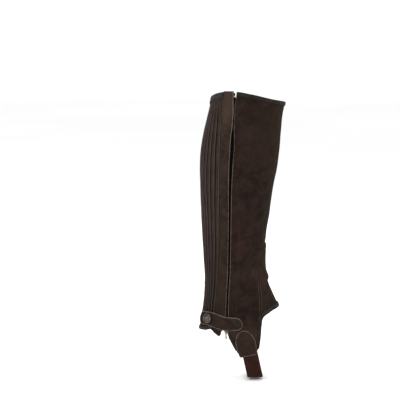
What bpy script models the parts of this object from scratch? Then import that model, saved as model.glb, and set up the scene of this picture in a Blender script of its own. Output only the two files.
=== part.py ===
"""Half chap for the right leg, as worn: a suede gaiter with an elastic back, a zip on its outer side, a
snap strap over the zip's lower end and an elastic stirrup under the foot.

Millimetres in the tables, metres in the model. +X points to the toe, -Y to the outer side of the leg,
+Z up. The origin is on the leg's axis, at the calf.

Every piece is laid out on one skin: the outer face of the suede. A place on the skin is an angle round
the leg (0 at the shin, positive over the outer side, 180 at the back of the calf) and a height, and
"out" is a distance outward from it. Pieces are walls, folded tapes or ribbons made of such points.
"""

import math
from collections import namedtuple

import bmesh
import bpy
from mathutils import Vector

MM = 0.001

# Cloth thicknesses and clearances
SUEDE = 1.8
ELASTIC = 2.0
BINDING = 1.1
WEBBING = 1.2
ZIP_CLOTH = 1.0
SEAM = 0.3

# The skin's cross-sections, from the top down. A section is an egg: narrower at the shin.
EGG = 0.12
Section = namedtuple("Section", "height back front half_width")
SECTIONS = (
    Section(120, -42.0, 79.0, 54.5),
    Section(96, -46.0, 76.0, 55.5),
    Section(68, -52.5, 71.5, 56.0),
    Section(30, -60.5, 68.0, 56.0),
    Section(0, -63.4, 65.0, 55.5),
    Section(-40, -63.8, 58.3, 53.0),
    Section(-85, -61.5, 51.2, 48.5),
    Section(-132, -59.2, 45.0, 43.5),
    Section(-165, -57.6, 45.3, 40.5),
    Section(-200, -55.6, 49.2, 38.5),
    Section(-222, -56.6, 58.0, 38.0),
    Section(-240, -58.6, 66.6, 38.0),
    Section(-275, -63.4, 84.0, 38.5),
    Section(-300, -66.5, 95.0, 37.5),
    Section(-330, -68.0, 103.0, 35.5),
)

# The largest creases, as soft ridges from one place on the skin to another
DEGREE_LONG = 0.8
Fold = namedtuple("Fold", "angle height to_angle to_height half_width rise")
FOLDS = (
    Fold(-16, -185, 50, -203, 6, 1.7),
    Fold(-12, -139, 34, -145, 6, 1.0),
    Fold(14, -212, 66, -236, 8, 1.2),
    Fold(-24, -150, -98, -158, 6, 1.5),
    Fold(-44, -168, -112, -174, 7, 1.7),
    Fold(-10, -206, -58, -222, 8, 1.2),
)

# The walls' top line: highest beside the zip, low on the inner side
TopPoint = namedtuple("TopPoint", "angle height")
TOP_LINE = (
    TopPoint(-180, 103.3),
    TopPoint(-158, 94.5),
    TopPoint(-132, 83.0),
    TopPoint(-90, 84.5),
    TopPoint(-45, 89.5),
    TopPoint(0, 94.3),
    TopPoint(45, 99.0),
    TopPoint(90, 108.8),
    TopPoint(110, 112.3),
    TopPoint(128, 112.6),
    TopPoint(150, 109.8),
    TopPoint(166, 106.0),
    TopPoint(180, 103.3),
)
STRIP_TOP = 114.4
STRIP_FOLD = 8.0
# Shares across the outer strip, closest where its slanted tab begins
STRIP_COLUMNS = (0, 0.16, 0.27, 0.32, 0.37, 0.47, 0.62, 0.78, 0.91, 1)

# The walls' lower line. It is given by its distance forward of the origin on each side of the leg.
HemPoint = namedtuple("HemPoint", "forward height")
HEM_TIP = -240.5
HEM_SKIRT = (
    HemPoint(58.0, -244.6),
    HemPoint(50.0, -249.2),
    HemPoint(42.0, -254.2),
    HemPoint(38.0, -260.0),
    HemPoint(36.6, -270.0),
    HemPoint(35.6, -284.0),
    HemPoint(33.8, -300.0),
    HemPoint(31.6, -310.5),
    HemPoint(27.0, -314.0),
    HemPoint(15.0, -317.0),
    HemPoint(4.0, -318.5),
    HemPoint(-1.0, -316.5),
)
HEM_OUTER = (
    *HEM_SKIRT,
    HemPoint(-4.5, -310.0),
    HemPoint(-9.0, -301.5),
    HemPoint(-14.0, -292.0),
    HemPoint(-18.6, -284.5),
    HemPoint(-22.6, -277.4),
    HemPoint(-26.8, -277.8),
    HemPoint(-28.8, -279.8),
    HemPoint(-29.8, -284.6),
    HemPoint(-32.4, -287.6),
    HemPoint(-37.6, -284.6),
    HemPoint(-42.2, -281.2),
    HemPoint(-44.0, -277.6),
    HemPoint(-45.4, -275.6),
    HemPoint(-56.0, -278.2),
)
HEM_INNER = (
    *HEM_SKIRT,
    HemPoint(-5.0, -308.0),
    HemPoint(-10.5, -296.0),
    HemPoint(-18.0, -287.5),
    HemPoint(-28.0, -281.0),
    HemPoint(-42.0, -276.0),
    HemPoint(-56.0, -276.5),
)
HEM_BACK = -278.6

# Seams that run from top to bottom. The zip's row also gives how far the suede edges stand apart.
ZipPoint = namedtuple("ZipPoint", "height forward gap")
ZIP_LINE = (
    ZipPoint(116, -6.9, 6.5),
    ZipPoint(104, -7.7, 5.0),
    ZipPoint(93, -8.7, 2.7),
    ZipPoint(80, -9.2, 1.6),
    ZipPoint(56, -10.6, 1.8),
    ZipPoint(44, -11.0, 3.4),
    ZipPoint(20, -11.6, 4.8),
    ZipPoint(-12, -14.0, 4.2),
    ZipPoint(-45, -15.3, 3.2),
    ZipPoint(-110, -16.0, 2.8),
    ZipPoint(-177, -17.0, 2.6),
    ZipPoint(-227, -19.6, 2.8),
    ZipPoint(-292, -20.4, 3.8),
)
SeamPoint = namedtuple("SeamPoint", "height forward")
OUTER_SEAM = (
    SeamPoint(116, -25.2),
    SeamPoint(68, -28.8),
    SeamPoint(-12, -31.1),
    SeamPoint(-145, -32.6),
    SeamPoint(-211, -36.5),
    SeamPoint(-290, -45.4),
)
INNER_SEAM = (
    SeamPoint(90, -15.0),
    SeamPoint(0, -23.0),
    SeamPoint(-100, -25.5),
    SeamPoint(-200, -29.0),
    SeamPoint(-290, -36.0),
)
INNER_STRIP_WIDTH = 16.5

# Elastic back: ribs run up and down, and fade out below the top
RIBS = 13
RIB_DEPTH = 0.9
RIBS_FADE = (60.0, 100.0)

# Folded elastic tapes over the raw edges: how far each lies on its panel
TOP_TAPE = 4.8
TOP_TAPE_BACK = 8.8
HEM_TAPE = 6.2
HEM_TAPE_END = 2.2
HEM_TAPE_TAPER = 0.22
REAR_TAPE = 4.6

# Where the hem's tapes end: in front of and behind the patches, and beside the zip
FRONT_TAPE_END = HemPoint(32.4, -307.5)
OUTER_TAPE_START = HemPoint(-4.0, -311.0)
OUTER_TAPE_END = HemPoint(-16.4, -287.5)
INNER_TAPE_START = HemPoint(-4.0, -310.0)

# Zip
CHAIN_WIDTH = 4.4
CHAIN_THICK = 1.6
TAPE_WIDTH = 10.5
ZIP_TOP = 104.5
TAPE_BOTTOM = -270.0
# The rear tape's narrow end stands up past the top stop, in front of the folded strip
TapeEnd = namedtuple("TapeEnd", "height front back")
TAPE_ENDS = (
    TapeEnd(111.6, 0.5, 2.6),
    TapeEnd(107.6, 0.5, 2.3),
    TapeEnd(106.9, 1.6, 2.25),
    TapeEnd(105.9, 1.6, 2.2),
    TapeEnd(105.1, 1.6, 13.0),
    TapeEnd(104.6, 2.5, 13.0),
)
CHAIN_BOTTOM = -277.0
STOP_WIDTH = 2.6
STOP_HEIGHT = 1.8

# Zip slider and its pull tab
PLATE_OUT = 0.4
PLATE = 1.1
PLATE_TOP = -271.0
PLATE_BOTTOM = -282.8
PLATE_HALF_TOP = 3.5
PLATE_HALF_BOTTOM = 2.7
PLATE_TAPER = 5.0
PLATE_CORNER = 1.2
NECK_HALF = 0.9
NECK_LOW = -2.4
NECK_HIGH = 0.6
HINGE_HEIGHT = -280.2
HINGE_OUT = 2.35
BAIL_HALF_LONG = 2.2
BAIL_THICK = 0.8
BAIL_HALF_WIDE = 0.6
BAIL_ROOM = 0.75
BAIL_CORNER = 0.7
BITE = 0.5
PULL_THICK = 0.9
PULL_HALF_TOP = 2.1
PULL_HALF_NECK = 1.75
PULL_HALF_END = 1.4
PULL_NECK = -4.4
PULL_LONG = 11.6
PULL_CORNER = 1.2
WINDOW_HALF = 0.95
WINDOW_LONG = 2.8

# Snap strap, from its free end at the back to its sewn end in front of the zip
StrapPoint = namedtuple("StrapPoint", "angle middle half_width stand_off")
STRAP_LINE = (
    StrapPoint(84, -266.4, 10.0, 0.5),
    StrapPoint(97, -266.6, 10.2, 0.6),
    StrapPoint(107, -266.8, 11.0, 1.7),
    StrapPoint(113, -266.6, 11.4, 1.9),
    StrapPoint(119, -265.6, 11.9, 1.6),
    StrapPoint(126, -263.6, 12.2, 1.5),
    StrapPoint(137, -260.4, 11.8, 2.0),
    StrapPoint(146, -259.2, 11.0, 2.5),
    StrapPoint(156, -259.0, 10.8, 2.2),
    StrapPoint(164, -259.4, 10.6, 1.8),
    StrapPoint(172, -259.6, 10.4, 1.4),
)
STRAP_FRONT_ANGLE = 92.0
STRAP_BACK_ANGLE = 171.0
STRAP_END_TURNS = (9, 25, 42, 58, 74, 90)
STRAP_CROWN = 0.15
SNAP_ANGLE = 144.8
SNAP_HEIGHT = -259.1

# The snap's round pieces, from their back to their face
RoundPoint = namedtuple("RoundPoint", "radius out")
CAP_PROFILE = (
    RoundPoint(0, 0),
    RoundPoint(7.4, 0),
    RoundPoint(7.8, 0.5),
    RoundPoint(7.8, 1.5),
    RoundPoint(7.2, 2.1),
    RoundPoint(6.2, 2.2),
    RoundPoint(5.8, 1.7),
    RoundPoint(5.2, 1.8),
    RoundPoint(4.6, 2.5),
    RoundPoint(0, 2.7),
)
STUD_PROFILE = (
    RoundPoint(0, 0),
    RoundPoint(5.0, 0),
    RoundPoint(5.0, 0.7),
    RoundPoint(3.4, 1.4),
    RoundPoint(0, 1.4),
)

# Stirrup
PATCH_OUT = 1.8
PATCH_CLOTH = 1.7
PATCH_FOOT = (16.5, -319.8)
PATCH_LEAN = 14.0
PATCH_HALF = 16.2
PATCH_TALL = 43.2
PATCH_SHOULDER = 20.5
PATCH_NARROWS = 1.2
PATCH_FOOT_RISE = -0.05
PATCH_FLAT = (-0.86, -0.43, 0, 0.43, 0.86)
PATCH_SIDE = (2.6, 8, 14.5)
PATCH_ARC = range(0, 181, 18)
PATCH_RINGS = ((0.3, 1.0), (0.7, 1.0), (0.88, 1.0), (1.0, 0.6))
# The patch's round top is pressed down onto the skirt this far above the elastic, from none to fully
RIM_CLEAR = (4.5, 6.0)
STIRRUP_HALF = 12.5
STIRRUP_LEAN = 11.5
STIRRUP_MIDDLE = (17.6, -311.0)
STIRRUP_END = 14.3
StirrupPoint = namedtuple("StirrupPoint", "height forward aside lean")
STIRRUP_ON_SKIN = (
    StirrupPoint(-297, 14.8, None, STIRRUP_LEAN),
    StirrupPoint(-304, 16.2, None, STIRRUP_LEAN),
    StirrupPoint(-311, 17.6, None, STIRRUP_LEAN),
    StirrupPoint(-318, 18.9, None, STIRRUP_LEAN),
)
STIRRUP_BELOW = (
    StirrupPoint(-326, 20.6, 35.7, STIRRUP_LEAN),
    StirrupPoint(-336, 22.8, 35.0, 10.0),
    StirrupPoint(-345, 24.8, 33.8, 7.0),
    StirrupPoint(-350.5, 26.0, 31.6, 4.5),
    StirrupPoint(-354.5, 27.0, 28.0, 2.5),
    StirrupPoint(-356.6, 27.6, 22.5, 1.0),
    StirrupPoint(-357.2, 28.0, 12.0, 0.0),
    StirrupPoint(-357.2, 28.0, 0.0, 0.0),
)

# Colours as 0-255, with roughness and metallic
Finish = namedtuple("Finish", "colour roughness metallic")
FINISHES = {
    "suede": Finish((50, 38, 33), 0.95, 0.0),
    "suede_strip": Finish((60, 47, 40), 0.95, 0.0),
    "ribbed_elastic": Finish((57, 48, 45), 0.9, 0.0),
    "binding_tape": Finish((62, 58, 52), 0.85, 0.0),
    "stirrup_webbing": Finish((66, 38, 30), 0.8, 0.0),
    "zip_cloth": Finish((38, 30, 27), 0.9, 0.0),
    "zip_teeth": Finish((30, 26, 24), 0.5, 0.0),
    "bright_metal": Finish((190, 188, 184), 0.3, 1.0),
    "antique_metal": Finish((110, 102, 95), 0.4, 1.0),
}


class Curve:
    """A smooth line through a table's points that never swings past them."""

    def __init__(self, pairs):
        pairs = sorted(pairs)
        self.x = [p[0] for p in pairs]
        self.y = [p[1] for p in pairs]
        steps = list(zip(self.x, self.x[1:], self.y, self.y[1:]))
        rise = [(y1 - y0) / (x1 - x0) for x0, x1, y0, y1 in steps]
        inner = [
            0.0 if a * b <= 0 else 2 * a * b / (a + b) for a, b in zip(rise, rise[1:])
        ]
        self.slope = [rise[0]] + inner + [rise[-1]]

    def __call__(self, at):
        at = min(max(at, self.x[0]), self.x[-1])
        i = 0
        while i < len(self.x) - 2 and at > self.x[i + 1]:
            i += 1
        wide = self.x[i + 1] - self.x[i]
        t = (at - self.x[i]) / wide
        keep = (1 + 2 * t) * (1 - t) ** 2 * self.y[i]
        reach = (3 - 2 * t) * t * t * self.y[i + 1]
        leave = t * (1 - t) ** 2 * wide * self.slope[i]
        arrive = t * t * (t - 1) * wide * self.slope[i + 1]
        return keep + reach + leave + arrive


def soft_step(value, low, high):
    t = min(max((value - low) / (high - low), 0.0), 1.0)
    return t * t * (3 - 2 * t)


BACK = Curve((s.height, s.back) for s in SECTIONS)
FRONT = Curve((s.height, s.front) for s in SECTIONS)
HALF_WIDTH = Curve((s.height, s.half_width) for s in SECTIONS)


def fold_rise(angle, height):
    """How far the creases lift the skin at a place on it."""
    rise = 0.0
    for fold in FOLDS:
        run = ((fold.to_angle - fold.angle) * DEGREE_LONG, fold.to_height - fold.height)
        at = ((angle - fold.angle) * DEGREE_LONG, height - fold.height)
        long = math.hypot(*run)
        along = (at[0] * run[0] + at[1] * run[1]) / long
        aside = (at[0] * run[1] - at[1] * run[0]) / long
        fade = soft_step(along, 0, 0.3 * long) * soft_step(-along, -long, -0.6 * long)
        rise += fold.rise * fade * math.exp(-((aside / fold.half_width) ** 2))
    return rise


def bare_skin(angle, height):
    back, front = BACK(height), FRONT(height)
    turn = math.radians(angle)
    forward = (front + back) / 2 + (front - back) / 2 * math.cos(turn)
    aside = HALF_WIDTH(height) * math.sin(turn) * (1 - EGG * math.cos(turn))
    return Vector((forward, -aside, height))


def skin_run(angle, height):
    """The skin's two directions at a place: per degree round the leg, and per millimetre up."""
    round_it = bare_skin(angle + 0.5, height) - bare_skin(angle - 0.5, height)
    up = (bare_skin(angle, height + 1) - bare_skin(angle, height - 1)) / 2
    return round_it, up


def skin_normal(angle, height):
    round_it, up = skin_run(angle, height)
    return up.cross(round_it).normalized()


def skin(angle, height, out=0.0):
    lift = out + fold_rise(angle, height)
    return bare_skin(angle, height) + lift * skin_normal(angle, height)


def angle_at(forward, height, side=1):
    """The angle on the outer (side 1) or inner (side -1) half at a distance forward of the origin."""
    back, front = BACK(height), FRONT(height)
    ratio = (forward - (front + back) / 2) / ((front - back) / 2)
    return side * math.degrees(math.acos(min(max(ratio, -1.0), 1.0)))


def stepped(angle, height, across):
    """The angle that lies a distance across, in millimetres, from another at the same height."""
    return angle + across / skin_run(angle, height)[0].length


ZIP_FORWARD = Curve((p.height, p.forward) for p in ZIP_LINE)
ZIP_GAP = Curve((p.height, p.gap) for p in ZIP_LINE)
OUTER_SEAM_FORWARD = Curve((p.height, p.forward) for p in OUTER_SEAM)
INNER_SEAM_FORWARD = Curve((p.height, p.forward) for p in INNER_SEAM)


def zip_angle(height):
    return angle_at(ZIP_FORWARD(height), height)


def zip_side(across):
    """A line beside the zip's centre, further round to the back for a positive distance."""
    return lambda height: stepped(zip_angle(height), height, across)


def tape_side(pairs):
    """A line beside the zip's centre whose distance from it changes with the height."""
    across = Curve(pairs)
    return lambda height: stepped(zip_angle(height), height, across(height))


def zip_edge(sign):
    """The suede's edge in front of the zip (-1) or behind it (1)."""
    return lambda height: stepped(zip_angle(height), height, sign * ZIP_GAP(height) / 2)


def outer_seam(across):
    return lambda height: stepped(angle_at(OUTER_SEAM_FORWARD(height), height), height, across)


def inner_seam(across):
    """The seam between the front panel and the inner strip, on the negative angles."""
    return lambda height: stepped(angle_at(INNER_SEAM_FORWARD(height), height, -1), height, across)


def elastic_inner_edge(across):
    return inner_seam(across - INNER_STRIP_WIDTH)


TOP = Curve((p.angle, p.height) for p in TOP_LINE)
HEM = Curve(
    [(0, HEM_TIP), (180, HEM_BACK), (-180, HEM_BACK)]
    + [(angle_at(p.forward, p.height), p.height) for p in HEM_OUTER]
    + [(angle_at(p.forward, p.height, -1), p.height) for p in HEM_INNER]
)


def wrapped(line):
    """A line given from -180 to 180, read at any angle."""
    return lambda angle: line((angle + 180) % 360 - 180)


def place(edge_a, edge_b, top, hem, across, down):
    """The place on the skin at a share across, between two seams, and a share down."""
    height = 0.5 * (top(0) + hem(180))
    angle = 0.0
    for _ in range(30):
        a, b = edge_a(height), edge_b(height)
        angle = a + (b - a) * across
        height = top(angle) + (hem(angle) - top(angle)) * down
    return angle, height


def shares_across(edge_a, edge_b, top, hem, count):
    """Shares that space columns by the length of the hem and of the wall's middle together."""
    fine = 240
    lengths = [0.0]
    rows = [
        [skin(*place(edge_a, edge_b, top, hem, i / fine, down)) for i in range(fine + 1)]
        for down in (0.45, 1.0)
    ]
    for i in range(fine):
        lengths.append(lengths[-1] + sum((row[i + 1] - row[i]).length for row in rows))
    shares = []
    for k in range(count + 1):
        want = lengths[-1] * k / count
        i = next((j for j in range(fine) if lengths[j + 1] >= want), fine - 1)
        step = lengths[i + 1] - lengths[i]
        shares.append((i + (want - lengths[i]) / step) / fine)
    return shares


def even(count):
    return [k / count for k in range(count + 1)]


def material(finish_name):
    finish = FINISHES[finish_name]
    made = bpy.data.materials.get(finish_name)
    if made:
        return made
    made = bpy.data.materials.new(finish_name)
    made.use_nodes = True
    shader = made.node_tree.nodes["Principled BSDF"]
    linear = [((c / 255 + 0.055) / 1.055) ** 2.4 for c in finish.colour]
    shader.inputs["Base Color"].default_value = (*linear, 1.0)
    shader.inputs["Roughness"].default_value = finish.roughness
    shader.inputs["Metallic"].default_value = finish.metallic
    made.diffuse_color = (*linear, 1.0)
    return made


def solid(name, points, faces, finish_name, sharp=50.0):
    """A named object from points in millimetres, with its faces turned outward."""
    mesh = bpy.data.meshes.new(name)
    mesh.from_pydata([[c * MM for c in p] for p in points], [], faces)
    work = bmesh.new()
    work.from_mesh(mesh)
    bmesh.ops.recalc_face_normals(work, faces=work.faces)
    work.to_mesh(mesh)
    work.free()
    mesh.materials.append(material(finish_name))
    mesh.shade_smooth()
    mesh.set_sharp_from_angle(angle=math.radians(sharp))
    made = bpy.data.objects.new(name, mesh)
    bpy.context.collection.objects.link(made)
    return made


def two_faced(name, outer, inner, finish_name):
    """A closed wall from two grids of points, listed column by column."""
    columns, rows = len(outer), len(outer[0])
    points = [p for grid in (outer, inner) for column in grid for p in column]
    behind = columns * rows

    def at(column, row):
        return column * rows + row

    faces = []
    for i in range(columns - 1):
        for j in range(rows - 1):
            quad = (at(i, j), at(i + 1, j), at(i + 1, j + 1), at(i, j + 1))
            faces += [quad, tuple(behind + k for k in reversed(quad))]
    rim = [at(i, 0) for i in range(columns)]
    rim += [at(columns - 1, j) for j in range(1, rows)]
    rim += [at(i, rows - 1) for i in range(columns - 2, -1, -1)]
    rim += [at(0, j) for j in range(rows - 2, 0, -1)]
    for k, here in enumerate(rim):
        there = rim[(k + 1) % len(rim)]
        faces.append((here, behind + here, behind + there, there))
    return solid(name, points, faces, finish_name)


def wall(name, finish_name, edges, ends, across, down, cloth, out=0.0, relief=None):
    """A piece of cloth between two seams and two ends. relief lowers the outer face only.

    Returns the places of its corners along the top and along the hem.
    """
    outer, inner = [], []
    for i, share in enumerate(across):
        outer.append([])
        inner.append([])
        for fall in down:
            angle, height = place(*edges, *ends, share, fall)
            thick = cloth(height) if callable(cloth) else cloth
            lower = relief(share, height) if relief else 0.0
            outer[i].append(skin(angle, height, out - lower))
            inner[i].append(skin(angle, height, out - thick))
    two_faced(name, outer, inner, finish_name)
    return [[place(*edges, *ends, share, fall) for share in across] for fall in (down[0], down[-1])]


def along_edge(line, from_angle, to_angle, spacing):
    """Places evenly spaced along a line on the skin that is given as a height for each angle."""
    fine = 400
    angles = [from_angle + (to_angle - from_angle) * k / fine for k in range(fine + 1)]
    spots = [(angle, line(angle)) for angle in angles]
    points = [skin(*spot) for spot in spots]
    lengths = [0.0]
    for a, b in zip(points, points[1:]):
        lengths.append(lengths[-1] + (b - a).length)
    count = max(2, round(lengths[-1] / spacing))
    kept = []
    for k in range(count + 1):
        want = lengths[-1] * k / count
        i = next((j for j in range(fine) if lengths[j + 1] >= want), fine - 1)
        t = (want - lengths[i]) / (lengths[i + 1] - lengths[i])
        kept.append(tuple(a + (b - a) * t for a, b in zip(spots[i], spots[i + 1])))
    return kept


def cut(spots, low, high, least=1.5):
    """The stretch of a panel's edge between two angles. Corners close to a cut end are left out."""

    def at(angle):
        for (a0, h0), (a1, h1) in zip(spots, spots[1:]):
            if a0 <= angle <= a1:
                return angle, h0 + (h1 - h0) * (angle - a0) / (a1 - a0)
        return spots[0] if angle < spots[0][0] else spots[-1]

    ends = at(low), at(high)
    inside = [
        spot
        for spot in spots
        if ends[0][0] < spot[0] < ends[1][0]
        and min((skin(*spot) - skin(*end)).length for end in ends) > least
    ]
    return [ends[0], *inside, ends[1]]


def folded_tape(name, spots, leg, panel, side, seams=(None, None)):
    """A tape folded over a panel's raw edge. side is 1 on a top edge and -1 on a hem.

    seams are the lines that its first and last ends follow, or None for an end cut square.
    """
    rings = []
    cloth = BINDING
    inside = -panel - SEAM
    for k, (angle, height) in enumerate(spots):
        before, after = spots[max(k - 1, 0)], spots[min(k + 1, len(spots) - 1)]
        along = (bare_skin(*after) - bare_skin(*before)).normalized()
        onto = side * skin_normal(angle, height).cross(along)
        round_it, up = skin_run(angle, height)
        a, b, c = round_it.dot(round_it), round_it.dot(up), up.dot(up)
        d, e = onto.dot(round_it), onto.dot(up)
        turn = (d * c - e * b) / (a * c - b * b)
        climb = (e * a - d * b) / (a * c - b * b)
        reach = leg(k / (len(spots) - 1)) if callable(leg) else leg
        section = (
            (SEAM, reach),
            (SEAM + cloth, reach),
            (SEAM + cloth, -SEAM),
            (SEAM + 0.3 * cloth, -SEAM - cloth),
            (inside - 0.3 * cloth, -SEAM - cloth),
            (inside - cloth, -SEAM),
            (inside - cloth, reach),
            (inside, reach),
            (inside, -SEAM),
            (SEAM, -SEAM),
        )
        ring = [(angle + turn * s, height + climb * s) for _, s in section]
        seam = {0: seams[0], len(spots) - 1: seams[1]}.get(k)
        if seam:
            ring = [(seam(height - side * s), height - side * s) for _, s in section]
        rings.append([skin(*spot, out) for spot, (out, _) in zip(ring, section)])
    size = len(rings[0])
    points = [p for ring in rings for p in ring]
    faces = [tuple(range(size)), tuple(range(len(points) - size, len(points)))]
    for k in range(len(rings) - 1):
        for m in range(size):
            n = (m + 1) % size
            faces.append((k * size + m, k * size + n, (k + 1) * size + n, (k + 1) * size + m))
    return solid(name, points, faces, "binding_tape")


def front_panel():
    edges = (inner_seam(SEAM / 2), zip_edge(-1))
    ends = (TOP, HEM)
    across = shares_across(*edges, *ends, 44)
    down = [0.55 * k / 12 for k in range(12)]
    down += [0.55 + 0.45 * k / 23 for k in range(24)]
    return wall("front_panel", "suede", edges, ends, across, down, SUEDE)


def rear_strip_outer():
    """Its top is folded over to the inside."""

    def folded(height):
        fold = soft_step(height, STRIP_TOP - STRIP_FOLD, STRIP_TOP - STRIP_FOLD + 1)
        return SUEDE * (1 + fold)

    edges = (zip_edge(1), outer_seam(-SEAM / 2))
    ends = (lambda angle: STRIP_TOP, HEM)
    height = STRIP_TOP - HEM_BACK
    fold_rows = [0, (STRIP_FOLD - 1) / height, STRIP_FOLD / height]
    down = fold_rows + [fold_rows[-1] + (1 - fold_rows[-1]) * k / 20 for k in range(1, 21)]
    wall("rear_strip_outer", "suede_strip", edges, ends, STRIP_COLUMNS, down, folded)


def rear_strip_inner():
    edges = (elastic_inner_edge(SEAM / 2), inner_seam(-SEAM / 2))
    return wall("rear_strip_inner", "suede", edges, (TOP, HEM), even(4), even(20), SUEDE)


def elastic_seam(height):
    """The elastic's edge beside the inner strip, counted on past 180."""
    return elastic_inner_edge(-SEAM / 2)(height) + 360


def elastic_back():
    """The ribbed elastic, from the outer seam round the back to the inner strip."""

    def grooves(share, height):
        ridge = abs(math.sin(math.pi * share * RIBS)) ** 0.7
        depth = RIB_DEPTH * (1 - 0.75 * soft_step(height, *RIBS_FADE))
        return depth * (1 - ridge)

    edges = (outer_seam(SEAM / 2), elastic_seam)
    ends = (wrapped(TOP), wrapped(HEM))
    down = [0, 0.025, 0.055] + [0.1 + 0.9 * k / 11 for k in range(12)]
    across = even(4 * RIBS)
    return wall("elastic_back", "ribbed_elastic", edges, ends, across, down, ELASTIC, relief=grooves)


def bindings(front, strip, elastic):
    """Tapes over the raw edges, each along its panels' own corners."""
    front_top, front_hem = front
    strip_top, strip_hem = strip
    elastic_top, elastic_hem = elastic
    strip_side, elastic_sides = elastic_inner_edge(SEAM / 2), (outer_seam(SEAM / 2), elastic_seam)
    spots = strip_top[:-1] + front_top
    folded_tape("top_binding_front", spots, TOP_TAPE, SUEDE, 1, (strip_side, zip_edge(-1)))
    folded_tape("top_binding_back", elastic_top[::2], TOP_TAPE_BACK, ELASTIC, 1, elastic_sides)

    def tapered(share):
        full = soft_step(min(share, 1 - share), 0.0, HEM_TAPE_TAPER)
        return HEM_TAPE_END + (HEM_TAPE - HEM_TAPE_END) * full

    under_patch = angle_at(*FRONT_TAPE_END)
    spots = cut(front_hem, -under_patch, under_patch)
    folded_tape("hem_binding_front", spots, tapered, SUEDE, -1)
    spots = cut(front_hem, angle_at(*OUTER_TAPE_START), angle_at(*OUTER_TAPE_END))
    folded_tape("hem_binding_outer", spots, REAR_TAPE, SUEDE, -1)
    spots = strip_hem[:-1] + cut(front_hem, front_hem[0][0], angle_at(*INNER_TAPE_START, -1))
    folded_tape("hem_binding_inner", spots, REAR_TAPE, SUEDE, -1, (strip_side, None))
    folded_tape("hem_binding_back", elastic_hem[::2], REAR_TAPE, ELASTIC, -1, elastic_sides)


def snap_strap():
    middle = Curve((p.angle, p.middle) for p in STRAP_LINE)
    half_width = Curve((p.angle, p.half_width) for p in STRAP_LINE)
    stand_off = Curve((p.angle, p.stand_off) for p in STRAP_LINE)
    spots = along_edge(middle, STRAP_FRONT_ANGLE, STRAP_BACK_ANGLE, 1.0)
    total = len(spots) - 1.0
    radius = half_width(STRAP_FRONT_ANGLE)
    round_end = [radius * (1 - math.cos(math.radians(turn))) for turn in STRAP_END_TURNS]
    straight = total - 2 * radius
    steps = round_end + [radius + straight * k / 15 for k in range(1, 15)]
    steps += [total - distance for distance in reversed(round_end)]
    outer, inner = [], []
    for distance in steps:
        angle, centre = spots[round(distance)]
        end = min(distance, total - distance, radius)
        wide = half_width(angle) * math.sqrt(1 - (1 - end / radius) ** 2)
        outer.append([])
        inner.append([])
        for share in (1, 0.6, 0, -0.6, -1):
            height = centre + share * wide
            out = stand_off(angle)
            crown = SUEDE * (1 - STRAP_CROWN * share * share)
            outer[-1].append(skin(angle, height, out + crown))
            inner[-1].append(skin(angle, height, out))
    two_faced("snap_strap", outer, inner, "suede_strip")
    return stand_off(SNAP_ANGLE)


def local_frame(angle, height):
    """Origin on the skin, with across (round to the back), out and up directions."""
    round_it, up = skin_run(angle, height)
    across = round_it.normalized()
    out = skin_normal(angle, height)
    return skin(angle, height), across, out, out.cross(across) * -1


def turned(name, finish_name, frame, profile, base, segments):
    """A round piece at a distance out from a frame. Its profile starts and ends on its axis."""
    origin, across, out, up = frame
    origin = origin + out * base
    points = [origin + out * profile[0].out]
    for radius, reach in profile[1:-1]:
        for k in range(segments):
            turn = 2 * math.pi * k / segments
            spoke = across * math.cos(turn) + up * math.sin(turn)
            points.append(origin + spoke * radius + out * reach)
    points.append(origin + out * profile[-1].out)
    rings = len(profile) - 2
    faces = []
    for k in range(segments):
        n = (k + 1) % segments
        faces.append((0, 1 + n, 1 + k))
        for ring in range(rings - 1):
            here, there = 1 + ring * segments, 1 + (ring + 1) * segments
            faces.append((here + k, here + n, there + n, there + k))
        last = 1 + (rings - 1) * segments
        faces.append((last + k, last + n, len(points) - 1))
    return solid(name, points, faces, finish_name, sharp=35.0)


def snap(strap_inner):
    """The cap on the strap and the stud between the strap and the elastic."""
    frame = local_frame(SNAP_ANGLE, SNAP_HEIGHT)
    turned("snap_cap", "antique_metal", frame, CAP_PROFILE, strap_inner + SUEDE + SEAM, 24)
    turned("snap_stud", "antique_metal", frame, STUD_PROFILE, SEAM, 16)


def rim_out(forward, height):
    """How far the patch's rim stands off the skirt: lifted by the elastic and the hem's tape below."""
    lean = math.radians(STIRRUP_LEAN)
    ahead, above = forward - STIRRUP_MIDDLE[0], height - STIRRUP_MIDDLE[1]
    beyond = above * math.cos(lean) - ahead * math.sin(lean) - STIRRUP_END
    return PATCH_OUT + (SEAM - PATCH_OUT) * soft_step(beyond, *RIM_CLEAR)


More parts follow.
